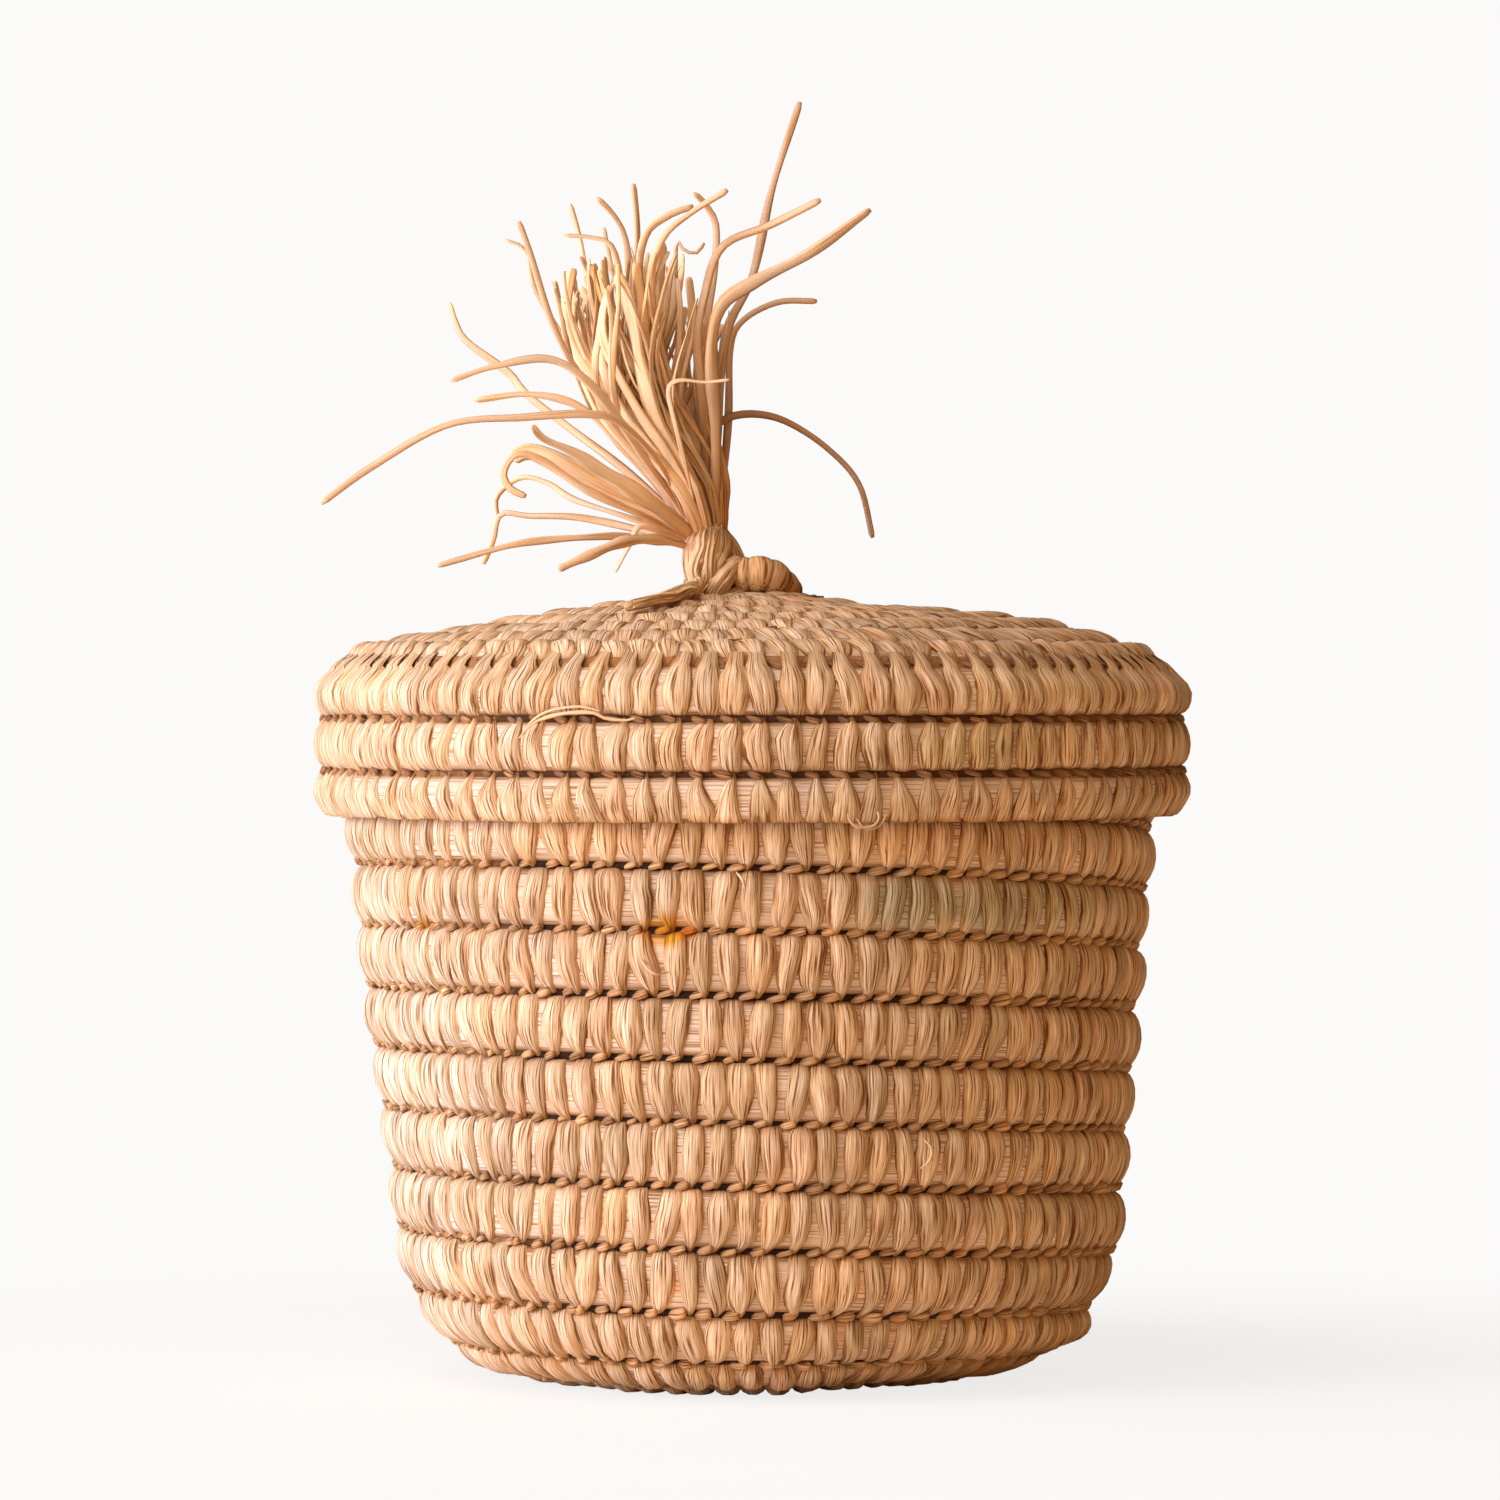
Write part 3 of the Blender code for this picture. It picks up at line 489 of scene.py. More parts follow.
def make_foundation(name, coil, target):
    """The bundle itself: an oval carried along the coil. Its sides, next to the grooves, are darker and
    browner:
    painted shade."""
    turns = np.arange(coil.first, coil.last, 1 / BUNDLE_STEPS)
    angle = np.linspace(0, TURN, BUNDLE_AROUND, endpoint=False)
    p = np.sign(np.cos(angle)) * np.abs(np.cos(angle)) ** 0.8 * FOUNDATION_EDGE + EDGE_SHIFT
    q = np.sign(np.sin(angle)) * foundation_height(p)
    points = coil.place(turns[:, None], p, q)
    uv = there_and_back(BUNDLE_AROUND, 17), coil.mileage(turns)[:, None] / MM
    # Painted shade: darker towards the edges of the row, next to the grooves.
    shade = 1 - 0.6 * smooth(np.abs(p), 0.70, 0.94)
    warm = 1 + 0.08 * ripple(turns * 7, 31, waves=6)
    tint = painted_shade_tint((shade * warm[:, None])[..., None])
    tint = stained_and_lit(points, stained_and_lit(points, tint), STALKS)
    faces, caps = tube_faces(1, len(turns), BUNDLE_AROUND, coil.direction < 0)
    return make_piece(name, points, faces, uv, tint, CORE, target, caps)


def make_groove_strand(name, coil, height, lobe, tone, target):
    """The two-ply strand that runs in the groove from stitch to stitch. Its ring at a turn has the radius
    r * (0.86 + 0.14 |cos(angle - pi * length / lobe)|), so two lobes wind round each other. Its outer side
    is painted dark, as painted shade deep in the groove, and its inner side as pale as the stitches. Where
    the rows close up, at the far left and right and over the lid's shoulder, its outer side is painted paler
    too, much paler on the lit left than on the right: painted light and shade."""
    turns = np.arange(coil.first + GROOVE_START, coil.last - 0.02, 1 / GROOVE_STEPS)
    angle = np.linspace(0, TURN, GROOVE_AROUND, endpoint=False)
    mileage = coil.mileage(turns)
    phase = (math.pi * mileage / lobe)[:, None]
    thick = GROOVE_RADIUS * (1 + 0.05 * ripple(mileage / (9 * MM), 41, waves=6))[:, None]
    ring = thick * (0.86 + 0.14 * np.abs(np.cos(angle - phase)))
    p = -1.015 + ring * np.cos(angle) / coil.read(turns, coil.width)[:, None]
    q = height * (1 + 0.06 * ripple(mileage / (14 * MM), 42, waves=5))[:, None] + ring * np.sin(angle)
    points = coil.place(turns[:, None], p, q)
    mottle = 1 + 0.22 * ripple(mileage / (6 * MM), 43, waves=7)
    inside = smooth(np.sin(angle), 0.1, -0.5)[None, :, None]
    right = np.cos(coil.azimuth(turns))[:, None, None]
    # Painted light and shade by side: the outer side is made paler on the lit left and less so on the right.
    outer = mixed(tone, (0.66, 0.47, 0.30), smooth(-right, 0.5, 0.85))
    outer = mixed(outer, (0.30, 0.15, 0.06), smooth(right, 0.5, 0.85))
    if coil is lid:
        over_shoulder = smooth(np.abs(turns - coil.last + 2.5), 0.53, 0.47)[:, None, None]
        outer = mixed(outer, (0.55, 0.37, 0.22), over_shoulder)
    tint = mottle[:, None, None] * mixed(outer, (0.85, 0.74, 0.60), inside)
    faces, caps = tube_faces(1, len(turns), GROOVE_AROUND, coil.direction < 0)
    uv = (angle - phase) * 1.6, mileage[:, None] / MM
    make_piece(name, points, faces, uv, tint, TWIST, target, caps)


# Stations of a stitch round the bundle: p over the row, height of its middle line in mm, share of the
# sideways pull of its neck, its full width in mm by kind (plain, pointed at both ends, fanned at the rim,
# wide over the shoulder, narrow at its far end on the cone), and how much higher the shoulder's kind is.
# The first and last stations lie inside the row before.
STATIONS = np.array([
    (-1.26, -1.5, 1.00, 1.7, 1.4, 1.0, 3.4, 3.0, -1.2),
    (-1.10, 0.2, 0.95, 1.8, 1.7, 1.0, 4.1, 4.6, 2.6),
    (-0.97, 1.2, 0.80, 2.3, 2.1, 1.3, 4.8, 5.7, 2.1),
    (-0.82, 2.0, 0.48, 3.4, 3.7, 2.1, 5.7, 6.4, 1.1),
    (-0.60, 2.85, 0.18, 5.1, 5.4, 3.3, 6.6, 6.7, 0.4),
    (-0.28, 3.6, 0.05, 6.2, 6.3, 4.7, 7.1, 6.8, 0.0),
    (0.06, 3.85, 0.00, 6.55, 6.4, 5.7, 7.1, 6.7, 0.0),
    (0.40, 3.6, 0.00, 6.5, 6.4, 6.4, 6.9, 6.3, 0.0),
    (0.68, 2.95, 0.00, 6.35, 6.2, 6.9, 6.4, 5.3, 0.0),
    (0.87, 2.0, 0.00, 5.5, 5.6, 7.1, 5.1, 4.1, 0.0),
    (0.97, 0.9, 0.00, 4.7, 4.6, 7.1, 4.4, 3.2, 0.0),
    (1.01, -0.3, 0.00, 4.0, 3.6, 6.9, 3.8, 2.8, 0.0),
    (0.86, -2.1, 0.00, 4.8, 4.4, 6.4, 3.6, 3.6, 0.0),
    (0.40, -3.3, 0.00, 5.6, 5.8, 5.8, 5.6, 5.4, 0.0),
    (-0.30, -3.4, 0.05, 5.6, 5.8, 5.2, 5.6, 5.4, 0.0),
    (-0.86, -2.5, 0.50, 3.6, 3.6, 3.2, 3.6, 3.6, 0.0),
    (-1.20, -1.6, 1.00, 1.6, 1.6, 1.4, 1.6, 1.6, 0.0),
])
KINDS = slice(3, 8)
RAISED = 8
FRONT = 12
ACROSS = np.array([-1.0, -0.83, -0.32, 0.32, 0.83, 1.0])


def stitches_a_turn(coil, turns, most, pitch):
    """As many as fit at the pitch, but no more than most."""
    return np.maximum(np.minimum(most, TURN * coil.radius(turns) / pitch), FEWEST_STITCHES)


def stitch_turns(coil, most, pitch, seed):
    """Turns at which the stitches sit: evenly by length, a few tenths of a millimetre off as a hand sets
    them."""
    rng = np.random.default_rng(seed)
    fine = coil.turns
    per_turn = stitches_a_turn(coil, fine, most, pitch)
    count = np.concatenate([[0], np.cumsum((per_turn[1:] + per_turn[:-1]) / 2 * np.diff(fine))])
    places = np.arange(0.6, count[-1] - 0.3, 1.0)
    places = places + rng.normal(0, 0.05, len(places))
    return np.interp(places, count, fine)


def neck_pull(coil, turns, shift, lean):
    """How far aside the neck of each stitch goes, in metres along the coil, to pass through the nearest
    stitch of the row before. At the far left and right it leans by lean more, towards the front."""
    before = turns - 1
    near = np.clip(np.searchsorted(turns, before), 1, len(turns) - 1)
    left, right = turns[near - 1], turns[near]
    best = np.where(np.abs(left - before) < np.abs(right - before), left, right)
    reach = TURN * coil.radius(turns)
    pull = (best - before) * reach
    pull = np.sign(pull) * np.minimum(np.abs(pull), 2.6 * MM) * 0.8 + shift
    pull = pull + lean * np.cos(coil.azimuth(turns))
    return np.where(before < turns[0], 0, pull)


# Marks of colour, and one spot of painted light: middle and half sizes in mm, and the colour that the tint
# is multiplied by.
SPOTS = (
    # Painted light, not a mark: the lower left of the wall is made paler and less orange.
    ((-105.0, -35.0, 52.0), (50.0, 95.0, 80.0), (1.04, 1.17, 1.35)),
    ((-20.5, -95.0, 111.6), (6.2, 9, 3.8), (0.92, 0.58, 0.03)),
    ((-14.5, -95.5, 111.5), (1.8, 4, 1.6), (1.0, 0.55, 0.12)),
    ((-79.0, -58.0, 113.0), (3.0, 6, 1.8), (1.0, 0.78, 0.36)),
    ((38.0, -90.0, 118.0), (13.0, 14, 7.0), (0.64, 0.75, 0.72)),
    ((56.0, -80.0, 117.0), (9.0, 14, 6.5), (0.70, 0.80, 0.78)),
    ((75.0, -66.0, 117.5), (14.0, 18, 6.5), (0.82, 0.89, 0.84)),
    ((45.0, -85.0, 132.5), (30.0, 30, 6.0), (1.0, 0.90, 0.78)),
    ((-20.0, -98.0, 134.0), (34.0, 30, 5.0), (1.0, 0.93, 0.84)),
    ((50.0, -88.0, 155.0), (18.0, 20, 5.0), (0.90, 0.98, 0.88)),
)
# The same for stalks of the bundle that are orange where they show between stitches.
STALKS = (
    ((-39.7, -86, 30.5), (3, 9, 3.5), (1.15, 0.66, 0.22)),
    ((-16.8, -94, 29.0), (4, 9, 4.5), (1.15, 0.66, 0.22)),
    ((20.9, -92, 29.0), (4, 9, 4.5), (1.15, 0.62, 0.18)),
    ((-2.5, -91, 15.5), (7, 9, 4.5), (1.15, 0.62, 0.18)),
    ((22.9, -88, 16.3), (6, 9, 4.5), (1.15, 0.62, 0.18)),
    ((32.2, -85, 16.3), (6, 9, 4.5), (1.15, 0.62, 0.18)),
)


def stained_and_lit(points, tint, spots=SPOTS):
    """Tint with the basket's own marks and with painted light: inside the ellipsoid of each spot it is
    multiplied by the spot's colour."""
    shape = points.shape
    points, tint = points.reshape(-1, 3), np.broadcast_to(tint, shape).reshape(-1, 3)
    for spot, size, colour in spots:
        far = np.linalg.norm((points - np.array(spot) * MM) / (np.array(size) * MM), axis=1)
        share = smooth(1.25 - far, 0, 0.6)[:, None]
        tint = tint * (1 - share) + tint * np.array(colour) * share
    return tint.reshape(shape)


def make_stitches(name, coil, turns, numbers, spacing, pull, kinds, skew, target, seed):
    """Stitches numbered numbers, each one strip carried round the bundle through STATIONS and crowned.

    Point(u) at a station: p as given, height = edge + (middle - edge) * (1 - |u|^3)^0.6, sideways u *
    width / 2 + pull. kinds gives each stitch its shares of the five kinds of width. skew moves its belly.
    The necks of the shoulder's kind reach further over the row before.
    """
    rng = np.random.default_rng(seed)
    every = rng.normal(0, 1, (len(turns), 8))
    # Two of each three draws are used. The third stays, so that the later draws are the same.
    dice = rng.random((len(turns), 3))
    edge_noise = rng.normal(0, 1, (len(turns), 2, len(STATIONS)))
    tones = rng.choice(len(PALETTE), len(turns), p=PALETTE_ODDS)
    every, dice, edge_noise, tones = every[numbers], dice[numbers], edge_noise[numbers], tones[numbers]
    turn, pull, kinds, skew = turns[numbers], pull[numbers], kinds[numbers], skew[numbers][:, None]
    pointed, shoulder, narrow = kinds[:, 1:2], kinds[:, 3:4], kinds[:, 4:]
    in_front = np.arange(len(STATIONS)) < FRONT
    right = np.cos(coil.azimuth(turn))[:, None]
    # How far each stitch is on the left, where the light falls, and on the right, in shade.
    lit_side, shade_side = np.clip(-right, 0, 1), np.clip(right, 0, 1)

    p, middle, share = (STATIONS[:, k][None, :] for k in range(3))
    p = p + (0.018 * every[:, 7:] - 0.035 * (pointed + shoulder)) * smooth(p, 0.4, 1.0)
    p = p - 0.17 * shoulder * smooth(-p, 1.0, 1.26) * in_front
    middle = middle + shoulder * STATIONS[:, RAISED]
    belly = np.sin(np.pi * np.clip((p + 1) / 2, 0, 1))
    full = 1 + np.clip(0.10 * every[:, :1], -0.2, 0.18) * np.clip(belly + 0.3, 0, 1)
    width = kinds @ STATIONS[:, KINDS].T * full * (spacing[numbers] / USUAL_PITCH)[:, None]
    width = width * (1 + 0.07 * right ** 2)
    smoothed = (edge_noise + np.roll(edge_noise, 1, axis=2) + np.roll(edge_noise, -1, axis=2)) / 3
    sides = 1 + 0.15 * smoothed
    side = np.where(ACROSS < 0, sides[:, 0, :, None], sides[:, 1, :, None])

    edge = foundation_height(np.clip(p, -0.9, 0.99)) / MM - 0.3
    edge = np.where(in_front, edge, -edge)
    edge = np.where(np.abs(p) > 0.95, middle - np.sign(middle) * 0.9, edge)
    thick = 1 + 0.12 * np.clip(every[:, 1:2], -2, 1)
    thick = thick * (1 - 0.35 * narrow * smooth(coil.radius(turn), 94 * MM, 80 * MM)[:, None])
    crown = (1 - np.abs(ACROSS) ** 3) ** 0.6
    lump = 1 + 0.16 * every[:, 4:5, None] * ACROSS + 0.10 * np.cos(ACROSS * 3 + every[:, 5:6, None] * 2)
    q = edge[:, :, None] + ((middle - edge) * thick)[:, :, None] * crown * lump
    slant = (0.38 * every[:, 2:3] + 1.5 * narrow) * p + skew * belly + 0.26 * every[:, 3:4] * np.sin(p * 2)
    x = pull[:, None] * share * (1 - 0.7 * shoulder) + slant * MM
    x = x[:, :, None] + ACROSS * (width * MM / 2)[:, :, None] * side
    points = coil.place(coil.moved(turn[:, None, None], x), p[:, :, None], q * MM)

    steps = np.hypot(np.diff(STATIONS[:, 0]) * HALF_ROW / MM, np.diff(STATIONS[:, 1]))
    run = np.concatenate([[0], np.cumsum(steps)])
    u = ACROSS + dice[:, 0, None, None] * ACROSS_OFFSET
    v = run[:, None] + dice[:, 1, None, None] * ALONG_OFFSET
    slow = 0.05 * ripple(turn * 6.3, seed + 1, waves=7)[:, None]
    tone = PALETTE[tones] * np.exp(0.06 * every[:, 6:7] + slow)
    # Painted shade: each stitch is darker and browner where it sinks into the grooves, less so on the lit
    # left.
    sunk = smooth(np.abs(np.clip(p, -1, 1)), 0.78, 1.0) * (1 - 0.9 * shoulder * (p < 0))
    shade = 1 - 0.30 * (1 - 0.7 * lit_side) * sunk
    # Painted shade at the sides of each stitch, weaker on the lit left and stronger on the right.
    sides_dark = 1 - (0.58 - 0.4 * lit_side + 0.2 * shade_side)[:, :, None] * np.abs(ACROSS) ** 6
    tint = tone[:, None, None, :] * painted_shade_tint((shade[:, :, None] * sides_dark)[..., None])
    tint = stained_and_lit(points, tint)
    faces = grid_faces(len(STATIONS), len(ACROSS))
    if coil.direction < 0:
        faces = faces[:, ::-1]
    faces = repeat_faces(faces, len(turn), len(STATIONS) * len(ACROSS))
    make_piece(name, points, faces, (u, v), tint, STITCH, target)


def make_links(name, coil, turns, pull, spacing, aside, reach, tone, target, seed):
    """Short strands in the groove, each from a neck towards the next one, with a hole left at its far end.

    Over its share s a link runs aside * (0.3 mm + reach * spacing * s) along the coil, at
    p = -0.92 - 0.18 s and a height of LINK_HEIGHT - 2 s^2 mm, so its far end sinks in behind the row before.
    """
    rng = np.random.default_rng(seed)
    count, stations, around = len(turns), 7, 5
    vary = rng.normal(0, 1, (4, count, 1, 1))
    s = np.linspace(0, 1, stations)[None, :, None]
    ring = np.linspace(0, TURN, around, endpoint=False)
    thick = (LINK_RADIUS + 0.15 * vary[0]) * (0.5 + 0.5 * np.sin(np.pi * (0.25 + 0.65 * s)))
    x = pull[:, None, None] + aside * (0.3 * MM + (reach + 0.06 * vary[1]) * spacing[:, None, None] * s)
    p = -0.92 - 0.18 * s + 0.02 * vary[2] + thick * np.cos(ring) / (HALF_ROW / MM)
    q = (LINK_HEIGHT - 2.0 * s ** 2 + 0.3 * vary[3] + thick * np.sin(ring)) * MM
    points = coil.place(coil.moved(turns[:, None, None], x), p, q)
    u = there_and_back(around, 1.5) + rng.uniform(0, ACROSS_OFFSET, (count, 1, 1))
    v = s * 5 + rng.uniform(0, ALONG_OFFSET, (count, 1, 1))
    # Random tone per link, times painted shade that darkens it towards its far end, where it sinks in.
    shade = np.exp(0.12 * rng.normal(0, 1, (count, 1, 1, 1))) * (1 - 0.35 * s[..., None] ** 2)
    tint = stained_and_lit(points, np.array(tone) * shade)
    faces, caps = tube_faces(count, stations, around, coil.direction * aside < 0)
    make_piece(name, points, faces, (u, v), tint, STITCH, target, caps)


def dress_coil(prefix, coil, target, seed, most, pitch, shift, lean, kinds_of, skew_of, aside, reach, tone):
    """Bundle and stitches of one coil, the stitches in one piece for each turn or so. aside, reach and
    tone are those of its links."""
    core = make_foundation(prefix + "_bundle", coil, target)
    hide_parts(prefix + "_coil")
    turns = stitch_turns(coil, most, pitch, seed)
    pull = neck_pull(coil, turns, shift, lean)
    spacing = TURN * coil.radius(turns) / stitches_a_turn(coil, turns, most, pitch)
    kinds, skew = kinds_of(turns), skew_of(turns)
    cut = np.floor(turns - coil.first).astype(int)
    for number in np.unique(cut):
        numbers = np.nonzero(cut == number)[0]
        title = f"{prefix}_stitches_{number + 1:02d}"
        make_stitches(title, coil, turns, numbers, spacing, pull, kinds, skew, target, seed + 7)
    sewn = turns > coil.first + 1.5
    make_links(prefix + "_links", coil, turns[sewn], pull[sewn], spacing[sewn], aside, reach, tone, target,
               seed + 9)


# Strands.

def through(guides, count):
    """A smooth line through guides in mm (Catmull-Rom), read at count places evenly by length."""
    points = np.array(guides) * MM
    ends = np.concatenate([[2 * points[0] - points[1]], points, [2 * points[-1] - points[-2]]])
    share = np.linspace(0, 1, 12, endpoint=False)[:, None]
    a, b, c, d = (ends[k:len(ends) - 3 + k, None, :] for k in range(4))
    line = b + 0.5 * share * (c - a + share * (2 * a - 5 * b + 4 * c - d + share * (3 * (b - c) + d - a)))
    line = np.concatenate([line.reshape(-1, 3), points[-1:]])
    length = lengths_of(line)
    places = length[-1] * shares(count)
    return np.stack([np.interp(places, length, column) for column in line.T], axis=-1)


def shares(stations):
    """Shares of a strip's length, evenly spread but with the last two close together, for a blunt tip."""
    return np.append(np.linspace(0, 0.985, stations - 1), 1.0)


def make_strips(name, paths, widths, flatness, turn_by, tones, target, seed, finish, tip, browning=1):
    """Strips of raffia: a flat lens of 6 points carried along each path (n, stations, 3).

    Point = path + side * width/2 * cos + normal * width/2 * flatness * sin, where side and normal turn
    about the path by turn_by = (start, rate) and the width narrows towards root and tip.
    """
    rng = np.random.default_rng(seed)
    count, stations, _ = paths.shape
    around = 6
    heading = unit(np.gradient(paths, axis=1))
    side = unit(np.cross(heading, np.array([0.05, -1.0, 0.1])))
    normal = np.cross(side, heading)
    share = shares(stations)[None, :]
    angle = (turn_by[0][:, None] + turn_by[1][:, None] * share)[..., None]
    side, normal = (side * np.cos(angle) + normal * np.sin(angle),
                    normal * np.cos(angle) - side * np.sin(angle))
    narrow = 0.55 + 0.45 * smooth(share, 0, 0.35) - (1 - tip) * smooth(share, 0.6, 1.0)
    bumps = 1 + 0.14 * np.sin(share * rng.uniform(8, 26, (count, 1)) + rng.uniform(0, 6, (count, 1)))
    width = widths[:, None] * narrow * bumps
    half = np.where((share == 0) | (share == 1), 0.6 * width, width)[..., None] / 2
    ring = np.linspace(0, TURN, around, endpoint=False)
    points = paths[:, :, None, :] + side[:, :, None, :] * (half * np.cos(ring))[..., None]
    points = points + normal[:, :, None, :] * (half * flatness * np.sin(ring))[..., None]
    length = np.linalg.norm(np.diff(paths, axis=1), axis=2).sum(axis=1)[:, None, None]
    u = there_and_back(around, 2) + rng.uniform(0, ACROSS_OFFSET, (count, 1, 1))
    v = length * share[..., None] / MM + rng.uniform(0, ALONG_OFFSET, (count, 1, 1))
    warm = browning * smooth(share, 0.45, 0.0)[..., None] * np.array([0.12, 0.24, 0.36])
    tint = (tones[:, None, :] * (1 - warm))[:, :, None, :]
    faces, caps = tube_faces(count, stations, around)
    return make_piece(name, points, faces, (u, v), tint, finish, target, caps)


def sides_of(path, middle):
    """Two directions square to a path: sideways, and outwards from the middle that it winds round."""
    heading = unit(np.gradient(path, axis=0))
    side = unit(np.cross(heading, unit(path - np.array(middle))))
    return side, np.cross(side, heading)


def make_tube(name, path, radius, middle, tone, seed, lobes=0, twist=0, depth=0.0, wrap=0.0, around=20):
    """A round strand of the knot along path. Its ring's radius is
    r * (1 - depth + depth * |cos(lobes/2 * angle - twist * length)|)
    and, where it is wrapped, is 12 percent less between one wrap and the next. middle is a point that the
    strand winds round, from which its rings are turned."""
    rng = np.random.default_rng(seed)
    side, out = sides_of(path, middle)
    angle = np.linspace(0, TURN, around, endpoint=False)
    length = lengths_of(path)
    from_end = np.minimum(np.minimum(length, length[-1] - length) / radius.max(), 1)
    rounded = radius * np.sqrt(np.clip(1 - (1 - from_end) ** 2, 0.04, 1))
    phase = lobes / 2 * angle - twist * length[:, None]
    ring = rounded[:, None] * (1 - depth + depth * np.abs(np.cos(phase)))
    if wrap:
        number = np.floor(length / wrap).astype(int)
        within = 2 * (length / wrap - number) - 1
        ring = ring * (0.88 + 0.12 * np.abs(np.sin(np.pi * length / wrap)) ** 0.6)[:, None]
        # Random tone per wrap, times painted shade that darkens each wrap towards its edges, where it meets
        # the next.
        tones = np.exp(rng.normal(0, 0.08, number.max() + 1))[number] * (1 - 0.35 * np.abs(within) ** 4)
        u = (within + rng.uniform(0, ACROSS_OFFSET, number.max() + 1)[number])[:, None]
        v = angle * radius.max() / MM
    else:
        tones = 1 + 0.1 * ripple(length / (7 * MM), seed, waves=5)
        u, v = phase * 2.4 * 2 / lobes, length[:, None] / MM
    points = path[:, None, :] + side[:, None, :] * (ring * np.cos(angle))[..., None]
    points = points + out[:, None, :] * (ring * np.sin(angle))[..., None]
    tint = tones[:, None, None] * np.broadcast_to(tone, (len(path), 3))[:, None, :]
    faces, caps = tube_faces(1, len(path), around)
    return make_piece(name, points, faces, (u, v), tint, TWIST, ON_KNOT, caps)


